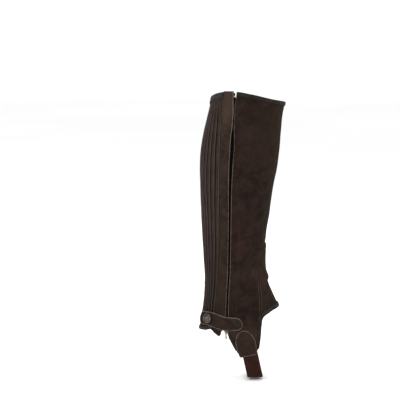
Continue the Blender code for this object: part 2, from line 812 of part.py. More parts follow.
def stirrup_patch(name, side):
    """A D-shaped suede patch with its flat edge down, made of rings that shrink to its middle."""
    lean = math.radians(PATCH_LEAN)

    def half_at(up):
        return PATCH_HALF - PATCH_NARROWS * (1 - up / PATCH_SHOULDER)

    outline = [(half_at(0) * share, 0.0) for share in PATCH_FLAT]
    outline += [(half_at(up), up) for up in PATCH_SIDE]
    for turn in PATCH_ARC:
        rise = math.sin(math.radians(turn)) * (PATCH_TALL - PATCH_SHOULDER)
        outline.append((PATCH_HALF * math.cos(math.radians(turn)), PATCH_SHOULDER + rise))
    outline += [(-half_at(up), up) for up in reversed(PATCH_SIDE)]
    rings = []
    for shrink, cloth in PATCH_RINGS:
        outer, inner = [], []
        for across, up in outline:
            p = across * shrink
            q = PATCH_SHOULDER + (up - PATCH_SHOULDER) * shrink
            q += PATCH_FOOT_RISE * p * max(0.0, 1 - q / PATCH_SHOULDER)
            forward = PATCH_FOOT[0] + p * math.cos(lean) - q * math.sin(lean)
            height = PATCH_FOOT[1] + p * math.sin(lean) + q * math.cos(lean)
            out = rim_out(forward, height) if shrink == 1.0 else PATCH_OUT
            outer.append(skin(angle_at(forward, height, side), height, out + PATCH_CLOTH * cloth))
            inner.append(skin(angle_at(forward, height, side), height, out))
        rings += [outer, inner]
    order = [rings[0], rings[2], rings[4], rings[6], rings[7], rings[5], rings[3], rings[1]]
    size = len(outline)
    points = [p for ring in order for p in ring]
    faces = [tuple(range(size)), tuple(range(len(points) - size, len(points)))]
    for k in range(len(order) - 1):
        for m in range(size):
            n = (m + 1) % size
            faces.append((k * size + m, k * size + n, (k + 1) * size + n, (k + 1) * size + m))
    solid(name, points, faces, "suede_strip")


def stirrup_elastic():
    """The strap under the foot, from under one patch to under the other."""
    shares = (-1, -0.5, 0, 0.5, 1)

    def row_points(point, share, side, out):
        lean = math.radians(point.lean)
        forward = point.forward + share * STIRRUP_HALF * math.cos(lean)
        height = point.height + share * STIRRUP_HALF * math.sin(lean)
        if point.aside is None:
            return skin(angle_at(forward, height, side), height, out)
        return Vector((forward, -side * point.aside, height))

    below = list(STIRRUP_BELOW)
    around = [(point, 1) for point in (*STIRRUP_ON_SKIN, *below)]
    around += [(point, -1) for point in reversed((*STIRRUP_ON_SKIN, *below[:-1]))]
    inner = [[row_points(p, s, side, SEAM) for p, side in around] for s in shares]
    outer = [[row_points(p, s, side, SEAM + WEBBING) for p, side in around] for s in shares]
    for column_in, column_out in zip(inner, outer):
        for k, (point, _) in enumerate(around):
            if point.aside is not None:
                run = column_in[k + 1] - column_in[k - 1]
                away = Vector((0, run.z, -run.y)).normalized()
                column_out[k] = column_in[k] + away * WEBBING
    two_faced("stirrup_elastic", outer, inner, "stirrup_webbing")


def zip_cloth_and_chain():
    edge = CHAIN_WIDTH / 2
    out = -SUEDE - SEAM

    def level(height):
        return lambda angle: height

    def strip(name, finish_name, sides, heights, thick):
        share = [(heights[0] - height) / (heights[0] - heights[-1]) for height in heights]
        ends = [level(heights[0]), level(heights[-1])]
        wall(name, finish_name, sides, ends, even(2), share, thick, out)

    def rows(top, bottom):
        return [top + (bottom - top) * share for share in even(22)]

    front_sides = (zip_side(-edge - SEAM - TAPE_WIDTH), zip_side(-edge - SEAM))
    strip("zip_tape_front", "zip_cloth", front_sides, rows(ZIP_TOP, TAPE_BOTTOM), ZIP_CLOTH)
    rear_sides = [tape_side([(end.height, end[k]) for end in TAPE_ENDS]) for k in (1, 2)]
    heights = [end.height for end in TAPE_ENDS] + rows(ZIP_TOP, TAPE_BOTTOM)[1:]
    strip("zip_tape_rear", "zip_cloth", rear_sides, heights, ZIP_CLOTH)
    chain_sides = (zip_side(-edge), zip_side(edge))
    strip("zip_chain", "zip_teeth", chain_sides, rows(ZIP_TOP, CHAIN_BOTTOM), CHAIN_THICK)


def prism(name, frame, outline, axes, low, high, finish_name):
    """An outline in two of a frame's directions, pushed along the third from low to high."""
    origin = frame[0]
    a, b, c = (frame[k] for k in axes)
    flat = [origin + a * p + b * q for p, q in outline]
    points = [p + c * low for p in flat] + [p + c * high for p in flat]
    size = len(outline)
    faces = [tuple(range(size)), tuple(range(size, 2 * size))]
    for m in range(size):
        n = (m + 1) % size
        faces.append((m, n, size + n, size + m))
    return solid(name, points, faces, finish_name)


ACROSS, OUT, UP = 1, 2, 3


def combined(operation, base, others):
    """Adds other solids to one or cuts them out of it, and keeps them only as hidden guides."""
    for other in others:
        change = base.modifiers.new(other.name, "BOOLEAN")
        change.operation = operation
        change.solver = "EXACT"
        change.object = other
        other.hide_render = True
        other.display_type = "WIRE"


def zip_slider():
    """Upper plate over the suede edges, neck between the tapes, lower plate under the chain, bail."""
    frame = local_frame(zip_angle(HINGE_HEIGHT), HINGE_HEIGHT)
    top, bottom = PLATE_TOP - HINGE_HEIGHT, PLATE_BOTTOM - HINGE_HEIGHT
    side = [(PLATE_HALF_BOTTOM, bottom), (PLATE_HALF_TOP, bottom + PLATE_TAPER)]
    side += [(PLATE_HALF_TOP, top - PLATE_CORNER), (PLATE_HALF_TOP - PLATE_CORNER, top)]
    outline = side + [(-half, up) for half, up in reversed(side)]
    under = -SUEDE - SEAM - CHAIN_THICK - SEAM
    foot = PLATE_OUT + BITE
    metal = "antique_metal"
    across_up = (ACROSS, UP, OUT)
    plate = prism("zip_slider", frame, outline, across_up, PLATE_OUT, PLATE_OUT + PLATE, metal)
    lower = prism("slider_lower", frame, outline, across_up, under - PLATE, under, metal)
    neck = [(-NECK_HALF, NECK_LOW), (NECK_HALF, NECK_LOW)]
    neck += [(NECK_HALF, NECK_HIGH), (-NECK_HALF, NECK_HIGH)]
    neck = prism("slider_neck", frame, neck, across_up, under - BITE, foot, metal)
    ceiling = HINGE_OUT + BAIL_ROOM
    hole = BAIL_HALF_LONG - BAIL_THICK
    outside = [(foot, BAIL_HALF_LONG), (ceiling, BAIL_HALF_LONG)]
    outside += [(ceiling + BAIL_THICK, BAIL_HALF_LONG - BAIL_CORNER)]
    inside = [(ceiling, hole), (foot, hole)]
    arch = [(out, -up) for out, up in outside] + outside[::-1]
    arch += inside[::-1] + [(out, -up) for out, up in inside]
    out_up = (OUT, UP, ACROSS)
    bail = prism("slider_bail", frame, arch, out_up, -BAIL_HALF_WIDE, BAIL_HALF_WIDE, metal)
    combined("UNION", plate, (lower, neck, bail))


def zip_pull():
    """The tab hangs by its top bar in the bail. Its object's origin is on the hinge's axis."""
    origin, across, out, _ = local_frame(zip_angle(HINGE_HEIGHT), HINGE_HEIGHT)
    level_out = Vector((out.x, out.y, 0)).normalized()
    frame = (Vector(), across, level_out, Vector((0, 0, 1)))
    bar = PULL_THICK / 2
    side = [(PULL_HALF_TOP, bar), (PULL_HALF_TOP, -WINDOW_LONG), (PULL_HALF_NECK, PULL_NECK)]
    side += [(PULL_HALF_END, PULL_CORNER - PULL_LONG), (PULL_HALF_END - PULL_CORNER / 2, -PULL_LONG)]
    outline = side + [(-half, up) for half, up in reversed(side)]
    window = [(-WINDOW_HALF, -bar), (WINDOW_HALF, -bar)]
    window += [(WINDOW_HALF, -WINDOW_LONG), (-WINDOW_HALF, -WINDOW_LONG)]
    across_up = (ACROSS, UP, OUT)
    pull = prism("zip_pull", frame, outline, across_up, -bar, bar, "bright_metal")
    hole = prism("pull_window", frame, window, across_up, -PULL_THICK, PULL_THICK, "bright_metal")
    for piece in (pull, hole):
        piece.location = (origin + out * HINGE_OUT) * MM
    combined("DIFFERENCE", pull, (hole,))


def zip_top_stop():
    height = ZIP_TOP + SEAM
    frame = local_frame(zip_angle(height), height)
    half = STOP_WIDTH / 2
    outline = ((-half, 0), (half, 0), (half, STOP_HEIGHT), (-half, STOP_HEIGHT))
    top = -SUEDE - SEAM
    across_up = (ACROSS, UP, OUT)
    prism("zip_top_stop", frame, outline, across_up, top - CHAIN_THICK, top, "bright_metal")


def main():
    for old in list(bpy.data.objects):
        bpy.data.objects.remove(old, do_unlink=True)
    rear_strip_outer()
    bindings(front_panel(), rear_strip_inner(), elastic_back())
    strap_inner = snap_strap()
    snap(strap_inner)
    stirrup_patch("stirrup_patch_outer", 1)
    stirrup_patch("stirrup_patch_inner", -1)
    stirrup_elastic()
    zip_cloth_and_chain()
    zip_top_stop()
    zip_slider()
    zip_pull()


main()
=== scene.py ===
"""Looks of the half chap: suede panels, ribbed elastic, folded tapes, zip, snap strap and stirrup.

Millimetres in the tables, metres in the model. A place on the skin is an angle round the leg (0 at the
shin, positive over the outer side, 180 at the back of the calf) and a height, and "out" is a distance
outward from the suede's outer face. The tables repeat those of the part's own source, but for
CREASES, WAVES and PULLED_BACK, which only the looks have.
"""

import math

import bmesh
import bpy
import numpy as np
from collections import namedtuple
from mathutils import Matrix, Vector


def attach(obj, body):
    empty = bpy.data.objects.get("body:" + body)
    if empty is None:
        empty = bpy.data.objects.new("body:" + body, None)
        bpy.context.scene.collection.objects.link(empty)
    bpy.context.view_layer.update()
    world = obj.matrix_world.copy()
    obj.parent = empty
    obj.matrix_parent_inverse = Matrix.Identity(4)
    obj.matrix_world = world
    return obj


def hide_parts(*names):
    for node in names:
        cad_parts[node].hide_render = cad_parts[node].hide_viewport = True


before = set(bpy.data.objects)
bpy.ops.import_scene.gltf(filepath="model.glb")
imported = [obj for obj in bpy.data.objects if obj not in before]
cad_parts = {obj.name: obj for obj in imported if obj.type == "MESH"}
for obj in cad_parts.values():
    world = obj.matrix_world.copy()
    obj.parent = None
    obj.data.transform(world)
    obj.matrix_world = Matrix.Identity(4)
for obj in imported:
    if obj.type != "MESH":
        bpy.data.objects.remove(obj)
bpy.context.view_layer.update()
MM = 0.001
HOLD = "half_chap"


def table(columns, *rows):
    """Rows of numbers whose columns are named."""
    row = namedtuple("Row", columns)
    return tuple(row(*values) for values in rows)


# ---------------------------------------------------------------- sizes shared with the part's source
SUEDE, ELASTIC, BINDING, WEBBING, ZIP_CLOTH, SEAM = 1.8, 2.0, 1.1, 1.2, 1.0, 0.3
EGG = 0.12
SECTIONS = table(
    "height back front half_width",
    (120, -42.0, 79.0, 54.5), (96, -46.0, 76.0, 55.5),
    (68, -52.5, 71.5, 56.0), (30, -60.5, 68.0, 56.0),
    (0, -63.4, 65.0, 55.5), (-40, -63.8, 58.3, 53.0),
    (-85, -61.5, 51.2, 48.5), (-132, -59.2, 45.0, 43.5),
    (-165, -57.6, 45.3, 40.5), (-200, -55.6, 49.2, 38.5),
    (-222, -56.6, 58.0, 38.0), (-240, -58.6, 66.6, 38.0),
    (-275, -63.4, 84.0, 38.5), (-300, -66.5, 95.0, 37.5),
    (-330, -68.0, 103.0, 35.5),
)
DEGREE_LONG = 0.8
FOLDS = table(
    "angle height to_angle to_height half_width rise",
    (-16, -185, 50, -203, 6, 1.7), (-12, -139, 34, -145, 6, 1.0), (14, -212, 66, -236, 8, 1.2),
    (-24, -150, -98, -158, 6, 1.5), (-44, -168, -112, -174, 7, 1.7), (-10, -206, -58, -222, 8, 1.2),
)
# Finer creases that only the looks have: ridges, and troughs where the rise is below nothing
CREASES = table(
    "angle height to_angle to_height half_width rise",
    (-20, -187, 46, -207, 2.2, 0.9), (-16, -192, 44, -211, 2.6, -1.3), (6, -197, 46, -216, 2.6, 1.0),
    (14, -203, 50, -224, 2.6, -0.9), (4, -176, 40, -189, 3.2, -0.9), (10, -168, 36, -174, 3.5, 0.6),
    (-26, -133, 30, -137, 4.6, -1.4), (-22, -147, 34, -153, 4.0, 0.5), (104, -253, 74, -236, 4.4, -1.5),
    (96, -241, 68, -226, 4.5, 0.8), (84, -262, 66, -254, 4.0, -0.8), (78, -272, 62, -262, 4.5, 0.7),
    (93, -250, 84, -266, 2.6, -1.2), (84, -266, 90, -280, 2.6, -1.0), (88, -253, 80, -270, 2.4, 0.8),
    (117, -286, 100, -315, 2.6, 1.0), (112, -283, 97, -306, 2.4, -0.9), (108, -279, 95, -297, 2.6, 0.8),
    (-28, -159, -96, -167, 3.2, -1.3), (-34, -178, -104, -186, 3.4, -1.2), (-30, -188, -96, -194, 4.2, 1.0),
    (-40, -201, -84, -207, 4.0, -0.8), (-60, -216, -100, -219, 4.6, 0.8), (-18, -226, -56, -242, 4.4, -0.8),
    (-62, -140, -108, -143, 4.0, 0.7), (-114, -164, -150, -168, 3.5, 0.8), (-118, -187, -158, -190, 3.5, 0.8),
    (128, -236, 172, -230, 3.4, 0.7), (134, -226, 178, -222, 3.2, -0.6), (150, -205, 196, -202, 4.0, 0.5),
    (-84, -262, -62, -248, 4.0, -0.8), (-118, -286, -100, -312, 2.8, 0.9), (-111, -283, -97, -304, 2.6, -0.8),
    (60, 58, 104, 40, 9.0, 0.5), (30, 20, 78, 2, 9.0, -0.4), (-40, 60, -88, 44, 9.0, 0.5),
    (-56, -4, -100, -16, 9.0, -0.5), (52, -88, 96, -98, 8.0, 0.5),
)
# Slow waves that no worn suede is without: degrees and millimetres per wave, phase and rise
WAVES = table(
    "degrees millimetres phase rise",
    (67, 143, 0.4, 0.28), (-41, 97, 1.9, 0.22),
    (29, 61, 3.1, 0.13), (-23, 38, 5.2, 0.09),
)
TOP_LINE = table(
    "angle height",
    (-180, 103.3), (-158, 94.5), (-132, 83.0), (-90, 84.5),
    (-45, 89.5), (0, 94.3), (45, 99.0), (90, 108.8),
    (110, 112.3), (128, 112.6), (150, 109.8), (166, 106.0),
    (180, 103.3),
)
STRIP_TOP, STRIP_FOLD = 114.4, 8.0
HEM_TIP, HEM_BACK = -240.5, -278.6
HEM_SKIRT = table(
    "forward height",
    (58.0, -244.6), (50.0, -249.2), (42.0, -254.2), (38.0, -260.0),
    (36.6, -270.0), (35.6, -284.0), (33.8, -300.0), (31.6, -310.5),
    (27.0, -314.0), (15.0, -317.0), (4.0, -318.5), (-1.0, -316.5),
)
HEM_OUTER = table(
    "forward height",
    *HEM_SKIRT,
    (-4.5, -310.0), (-9.0, -301.5), (-14.0, -292.0), (-18.6, -284.5),
    (-22.6, -277.4), (-26.8, -277.8), (-28.8, -279.8), (-29.8, -284.6),
    (-32.4, -287.6), (-37.6, -284.6), (-42.2, -281.2), (-44.0, -277.6),
    (-45.4, -275.6), (-56.0, -278.2),
)
HEM_INNER = table(
    "forward height",
    *HEM_SKIRT,
    (-5.0, -308.0), (-10.5, -296.0), (-18.0, -287.5), (-28.0, -281.0),
    (-42.0, -276.0), (-56.0, -276.5),
)
ZIP_LINE = table(
    "height forward gap",
    (116, -6.9, 6.5), (104, -7.7, 5.0), (93, -8.7, 2.7),
    (80, -9.2, 1.6), (56, -10.6, 1.8), (44, -11.0, 3.4),
    (20, -11.6, 4.8), (-12, -14.0, 4.2), (-45, -15.3, 3.2),
    (-110, -16.0, 2.8), (-177, -17.0, 2.6), (-227, -19.6, 2.8),
    (-292, -20.4, 3.8),
)
OUTER_SEAM = table(
    "height forward",
    (116, -25.2), (68, -28.8), (-12, -31.1), (-145, -32.6),
    (-211, -36.5), (-290, -45.4),
)
INNER_SEAM = table(
    "height forward",
    (90, -15.0), (0, -23.0), (-100, -25.5), (-200, -29.0),
    (-290, -36.0),
)
INNER_STRIP_WIDTH = 16.5
RIBS = 13
TOP_TAPE, TOP_TAPE_BACK, HEM_TAPE, HEM_TAPE_END, HEM_TAPE_TAPER, REAR_TAPE = 4.8, 8.8, 6.2, 2.2, 0.22, 4.6
FRONT_TAPE_END = (32.4, -307.5)
OUTER_TAPE_START = (-4.0, -311.0)
OUTER_TAPE_END = (-16.4, -287.5)
INNER_TAPE_START = (-4.0, -310.0)
# How far worn cloth pulls back from the zip, beyond the solids' edges: strip's side and panel's side
PULLED_BACK = table(
    "height strip panel",
    (96, 0.0, 0.0), (80, 0.0, 0.6), (64, 0.0, 0.9),
    (40, 1.0, 1.0), (10, 1.2, 0.4), (-26, 0.6, 1.1),
    (-60, 0.3, 1.1), (-95, 0.0, 1.1), (-155, 0.1, 1.2),
    (-205, -0.3, 1.2), (-292, 0.0, 0.8),
)
CHAIN_WIDTH, CHAIN_THICK, TAPE_WIDTH = 4.4, 1.6, 10.5
ZIP_TOP, TAPE_BOTTOM, CHAIN_BOTTOM = 104.5, -270.0, -277.0
# The rear zip tape's narrow end stands up past the top stop, in front of the folded strip
TAPE_ENDS = table(
    "height front back",
    (111.6, 0.5, 2.6), (107.6, 0.5, 2.3), (106.9, 1.6, 2.25),
    (105.9, 1.6, 2.2), (105.1, 1.6, 13.0), (104.6, 2.5, 13.0),
)
STRAP_LINE = table(
    "angle middle half_width stand_off",
    (84, -266.4, 10.0, 0.5), (97, -266.6, 10.2, 0.6), (107, -266.8, 11.0, 1.7),
    (113, -266.6, 11.4, 1.9), (119, -265.6, 11.9, 1.6), (126, -263.6, 12.2, 1.5),
    (137, -260.4, 11.8, 2.0), (146, -259.2, 11.0, 2.5), (156, -259.0, 10.8, 2.2),
    (164, -259.4, 10.6, 1.8), (172, -259.6, 10.4, 1.4),
)
STRAP_FRONT_ANGLE, STRAP_BACK_ANGLE = 92.0, 171.0
SNAP_ANGLE, SNAP_HEIGHT = 144.8, -259.1
PATCH_OUT, PATCH_CLOTH = 1.8, 1.7
PATCH_FOOT = (16.5, -319.8)
PATCH_LEAN, PATCH_HALF, PATCH_TALL, PATCH_SHOULDER = 14.0, 16.2, 43.2, 20.5
PATCH_NARROWS, PATCH_FOOT_RISE = 1.2, -0.05
RIM_CLEAR = (4.5, 6.0)
STIRRUP_HALF, STIRRUP_LEAN, STIRRUP_MIDDLE, STIRRUP_END = 12.5, 11.5, (17.6, -311.0), 14.3
STIRRUP_ON_SKIN = table(
    "height forward aside lean",
    (-297, 14.8, None, STIRRUP_LEAN), (-304, 16.2, None, STIRRUP_LEAN),
    (-311, 17.6, None, STIRRUP_LEAN), (-318, 18.9, None, STIRRUP_LEAN),
)
STIRRUP_BELOW = table(
    "height forward aside lean",
    (-326, 20.6, 35.7, STIRRUP_LEAN), (-336, 22.8, 35.0, 10.0),
    (-345, 24.8, 33.8, 7.0), (-350.5, 26.0, 31.6, 4.5),
    (-354.5, 27.0, 28.0, 2.5), (-356.6, 27.6, 22.5, 1.0),
    (-357.2, 28.0, 12.0, 0.0), (-357.2, 28.0, 0.0, 0.0),
)


# ---------------------------------------------------------------- the skin
class Curve:
    """A smooth line through a table's points that never swings past them."""

    def __init__(self, pairs):
        pairs = np.array(sorted(pairs), dtype=float)
        self.x, self.y = pairs[:, 0], pairs[:, 1]
        rise = np.diff(self.y) / np.diff(self.x)
        a, b = rise[:-1], rise[1:]
        same = a * b > 0
        inner = np.where(same, 2 * a * b / np.where(same, a + b, 1), 0)
        self.slope = np.concatenate([rise[:1], inner, rise[-1:]])

    def __call__(self, at):
        at = np.clip(at, self.x[0], self.x[-1])
        i = np.clip(np.searchsorted(self.x, at, side="right") - 1, 0, len(self.x) - 2)
        wide = self.x[i + 1] - self.x[i]
        t = (at - self.x[i]) / wide
        keep = (1 + 2 * t) * (1 - t) ** 2 * self.y[i]
        reach = (3 - 2 * t) * t * t * self.y[i + 1]
        leave = t * (1 - t) ** 2 * wide * self.slope[i]
        arrive = t * t * (t - 1) * wide * self.slope[i + 1]
        return keep + reach + leave + arrive


def curves(rows, x, *columns):
    """A smooth line of each of a table's columns against the column x."""
    return [Curve((getattr(row, x), getattr(row, y)) for row in rows) for y in columns]


def soft_step(value, low, high):
    t = np.clip((value - low) / (high - low), 0.0, 1.0)
    return t * t * (3 - 2 * t)


def unit(vectors):
    return vectors / np.linalg.norm(vectors, axis=-1, keepdims=True)


def run_lengths(points):
    """How far along a run of points each one lies."""
    return np.concatenate([[0], np.cumsum(np.linalg.norm(np.diff(points, axis=0), axis=1))])


BACK, FRONT, HALF_WIDTH = curves(SECTIONS, "height", "back", "front", "half_width")


def fold_rise(angle, height, folds=FOLDS, uneven=0.0):
    """How far the creases lift the skin. Uneven ones swell and thin along their length."""
    rise = np.zeros(np.broadcast(angle, height).shape)
    for k, fold in enumerate(folds):
        run = ((fold.to_angle - fold.angle) * DEGREE_LONG, fold.to_height - fold.height)
        at = ((angle - fold.angle) * DEGREE_LONG, height - fold.height)
        long = math.hypot(*run)
        along = (at[0] * run[0] + at[1] * run[1]) / long
        aside = (at[0] * run[1] - at[1] * run[0]) / long
        fade = soft_step(along, 0, 0.3 * long) * soft_step(-along, -long, -0.6 * long)
        aside = aside + uneven * 1.4 * np.sin(along / 8.5 + 2.1 * k)
        wide = fold.half_width * (1 + uneven * 0.25 * np.sin(along / 6.0 + 1.3 * k))
        rise = rise + fold.rise * fade * np.exp(-((aside / wide) ** 2))
    return rise


def wrapped_angle(angle):
    return (np.asarray(angle, dtype=float) + 180) % 360 - 180


def finer_rise(angle, height):
    """The creases and slow waves that only the looks have. They die away at the top and under the patches."""
    angle = wrapped_angle(angle)
    rise = fold_rise(angle, height, CREASES, 1.0)
    rise += fold_rise(angle + 360, height, CREASES, 1.0) + fold_rise(angle - 360, height, CREASES, 1.0)
    for wave in WAVES:
        turn = 2 * math.pi * (np.sin(np.radians(angle)) * 57.3 / wave.degrees + height / wave.millimetres)
        rise += wave.rise * np.sin(turn + wave.phase)
    return rise * soft_step(-height, -112, -84)


def bare_skin(angle, height):
    angle, height = np.broadcast_arrays(np.asarray(angle, dtype=float), np.asarray(height, dtype=float))
    back, front = BACK(height), FRONT(height)
    turn = np.radians(angle)
    forward = (front + back) / 2 + (front - back) / 2 * np.cos(turn)
    aside = HALF_WIDTH(height) * np.sin(turn) * (1 - EGG * np.cos(turn))
    return np.stack([forward, -aside, height], axis=-1)


def skin_run(angle, height):
    round_it = bare_skin(angle + 0.5, height) - bare_skin(angle - 0.5, height)
    up = (bare_skin(angle, height + 1) - bare_skin(angle, height - 1)) / 2
    return round_it, up


def skin_normal(angle, height):
    round_it, up = skin_run(angle, height)
    return unit(np.cross(up, round_it))


def skin(angle, height, out=0.0, finer=1.0):
    angle, height = np.asarray(angle, dtype=float), np.asarray(height, dtype=float)
    lift = out + fold_rise(angle, height) + finer * finer_rise(angle, height)
    return bare_skin(angle, height) + np.asarray(lift)[..., None] * skin_normal(angle, height)


def angle_at(forward, height, side=1):
    back, front = BACK(height), FRONT(height)
    ratio = (forward - (front + back) / 2) / ((front - back) / 2)
    return side * np.degrees(np.arccos(np.clip(ratio, -1.0, 1.0)))


def degree(angle, height):
    """Millimetres round the leg for one degree."""
    return np.linalg.norm(skin_run(angle, height)[0], axis=-1)


def stepped(angle, height, across):
    return angle + across / degree(angle, height)


ZIP_FORWARD, ZIP_GAP = curves(ZIP_LINE, "height", "forward", "gap")
(OUTER_SEAM_FORWARD,) = curves(OUTER_SEAM, "height", "forward")
(INNER_SEAM_FORWARD,) = curves(INNER_SEAM, "height", "forward")


def zip_angle(height):
    return angle_at(ZIP_FORWARD(height), height)


def zip_side(across):
    return lambda height: stepped(zip_angle(height), height, across)


def tape_side(pairs):
    """A line beside the zip's centre whose distance from it changes with the height."""
    across = Curve(pairs)
    return lambda height: stepped(zip_angle(height), height, across(height))


PULLED = dict(zip((1, -1), curves(PULLED_BACK, "height", "strip", "panel")))


def zip_edge(sign, across=0.0):
    """The cut edge beside the zip: sign is 1 on the strip's side and -1 on the panel's."""

    def at(height):
        gap = sign * (ZIP_GAP(height) / 2 + PULLED[sign](height))
        return stepped(zip_angle(height), height, gap + across)

    return at


def outer_seam(across):
    return lambda height: stepped(angle_at(OUTER_SEAM_FORWARD(height), height), height, across)


def inner_seam(across):
    return lambda height: stepped(angle_at(INNER_SEAM_FORWARD(height), height, -1), height, across)


def elastic_inner_edge(across):
    return inner_seam(across - INNER_STRIP_WIDTH)


def elastic_seam(height):
    return elastic_inner_edge(-SEAM / 2)(height) + 360


(TOP,) = curves(TOP_LINE, "angle", "height")
HEM = Curve(
    [(0, HEM_TIP), (180, HEM_BACK), (-180, HEM_BACK)]
    + [(float(angle_at(p.forward, p.height)), p.height) for p in HEM_OUTER]
    + [(float(angle_at(p.forward, p.height, -1)), p.height) for p in HEM_INNER]
)


def wrapped(line):
    return lambda angle: line(wrapped_angle(angle))


def place(edge_a, edge_b, top, hem, across, down):
    """The places at shares across, between two seams, and shares down."""
    across, down = np.broadcast_arrays(across, down)
    height = np.full(across.shape, 0.5 * (top(0) + hem(180)))
    for _ in range(30):
        a, b = edge_a(height), edge_b(height)
        angle = a + (b - a) * across
        height = top(angle) + (hem(angle) - top(angle)) * down
    return angle, height


# ---------------------------------------------------------------- making meshes
def placed(name, data):
    """A new object in the scene, at the origin."""
    thing = bpy.data.objects.new(name, data)
    bpy.context.scene.collection.objects.link(thing)
    return thing


def made(name, points, faces, finish, stored=None, smooth=60.0):
    """A finished piece from points in millimetres. stored holds numbers kept at each point."""
    mesh = bpy.data.meshes.new(name)
    mesh.from_pydata((np.asarray(points) * MM).tolist(), [], faces)
    for key, values in (stored or {}).items():
        layer = mesh.attributes.new(key, "FLOAT", "POINT")
        layer.data.foreach_set("value", np.asarray(values, dtype=np.float32).ravel())
    mesh.shade_smooth()
    if smooth:
        mesh.set_sharp_from_angle(angle=math.radians(smooth))
    mesh.materials.append(finish)
    return placed(name, mesh)


def shell(name, outer, inner, finish, stored=None, bulge=0.35, smooth=60.0):
    """A closed wall with a rounded rim from two grids of points, each listed column by column."""
    columns, rows = outer.shape[:2]
    count = columns * rows
    number = np.arange(count).reshape(columns, rows)
    quads = np.stack([number[:-1, :-1], number[1:, :-1], number[1:, 1:], number[:-1, 1:]], -1).reshape(-1, 4)
    rim = np.concatenate([number[:, 0], number[-1, 1:], number[-2::-1, -1], number[0, -2:0:-1]])
    flat_out, flat_in = outer.reshape(-1, 3), inner.reshape(-1, 3)
    a, b = flat_out[rim], flat_in[rim]
    away = unit(np.cross(np.roll((a + b) / 2, -1, 0) - np.roll((a + b) / 2, 1, 0), a - b))
    middle = (a + b) / 2 + away * bulge
    faces = np.concatenate([quads, quads[:, ::-1] + count]).tolist()
    here = np.arange(len(rim))
    there = np.roll(here, -1)
    mid = 2 * count
    faces += np.stack([rim, mid + here, mid + there, rim[there]], -1).tolist()
    faces += np.stack([mid + here, count + rim, count + rim[there], mid + there], -1).tolist()
    points = np.concatenate([flat_out, flat_in, middle])
    kept = {}
    for key, grid in (stored or {}).items():
        flat = np.broadcast_to(grid, (columns, rows)).reshape(-1)
        kept[key] = np.concatenate([flat, flat, flat[rim]])
    kept["inside"] = np.concatenate([np.zeros(count), np.ones(count), np.full(len(rim), 0.5)])
    return made(name, points, faces, finish, stored=kept, smooth=smooth)


def spaced(count, long, ends=(0.8, 1.8)):
    """Even shares with closer ones near both ends, for rounded edges. Lengths are in millimetres."""
    close = [e / long for e in ends]
    inner = np.linspace(close[-1], 1 - close[-1], count)
    return np.concatenate([[0], close[:-1], inner, [1 - c for c in reversed(close[:-1])], [1]])


def wall(name, finish, edges, ends, columns, rows, cloth, out=0.0, relief=None, stored=None, size=(200, 380)):
    """A piece of cloth between two seams and two ends, with its outer edges rounded over."""
    across = spaced(columns, size[0])[:, None]
    down = (spaced(rows, size[1]) if isinstance(rows, int) else np.array(rows))[None, :]
    angle, height = place(*edges, *ends, across, down)
    lower = relief(across, angle, height) if relief else 0.0
    from_side = np.minimum(across, 1 - across) * size[0]
    from_end = np.minimum(down, 1 - down) * size[1]
    rounding = 0.5 * (1 - soft_step(np.minimum(from_side, from_end), -0.6, 1.5))
    thick = cloth(height) if callable(cloth) else cloth
    outer = skin(angle, height, out - lower - rounding)
    inner = skin(angle, height, out - thick + 0.3 * rounding)
    kept = {key: value(across, angle, height) for key, value in (stored or {}).items()}
    # The creases' rise, from which the finish paints shade in the troughs and a highlight on the ridges.
    kept["crease"] = finer_rise(angle, height) + 0.6 * fold_rise(angle, height)
    return shell(name, outer, inner, finish, kept)


def along_edge(line, from_angle, to_angle, spacing):
    """Places evenly spaced along a line on the skin that is given as a height for each angle."""
    angles = np.linspace(from_angle, to_angle, 1200)
    heights = line(angles)
    lengths = run_lengths(skin(angles, heights))
    want = np.linspace(0, lengths[-1], max(3, int(round(lengths[-1] / spacing)) + 1))
    return np.interp(want, lengths, angles), np.interp(want, lengths, heights)


def up_seam(seam, low, high):
    """Places 2 mm apart up a seam that is given as an angle for each height."""
    heights = np.linspace(high, low, max(3, int(round(abs(high - low) / 2)) + 1))
    return seam(heights), heights


def tape_section(reach, panel):
    """Points of a folded tape's section: out from the skin and distance onto the panel."""
    cloth, inside = BINDING, -panel - SEAM
    top = SEAM + cloth
    middle, half = (top + inside - cloth) / 2, (top - inside + cloth) / 2
    outer = [(SEAM, reach), (SEAM + 0.55 * cloth, reach + 0.15), (top - 0.1, reach - 0.3), (top, reach - 0.9)]
    outer += [(top + 0.12, 0.5 * reach), (top, 0.6)]
    turn = np.radians(np.linspace(70, -70, 9))
    outer += [(middle + half * math.sin(t), 0.2 - SEAM - cloth * 1.15 * math.cos(t)) for t in turn]
    outer += [(inside - cloth, 0.6), (inside - cloth, 0.5 * reach), (inside - cloth, reach - 0.9)]
    outer += [(inside - cloth + 0.1, reach - 0.3), (inside - 0.4 * cloth, reach + 0.1), (inside, reach)]
    outer += [(inside, 0.5 * reach), (inside + 0.05, -SEAM), (SEAM - 0.05, -SEAM), (SEAM, 0.5 * reach)]
    return outer


def onto_cloth(angles, heights, along, side):
    """Degrees and height for each millimetre from an edge onto its cloth. along is the edge's direction."""
    onto = side * np.cross(skin_normal(angles, heights), along)
    round_it, up = skin_run(angles, heights)
    a, b, c = (np.sum(p * q, -1) for p, q in ((round_it, round_it), (round_it, up), (up, up)))
    d, e = np.sum(onto * round_it, -1), np.sum(onto * up, -1)
    return (d * c - e * b) / (a * c - b * b), (e * a - d * b) / (a * c - b * b)


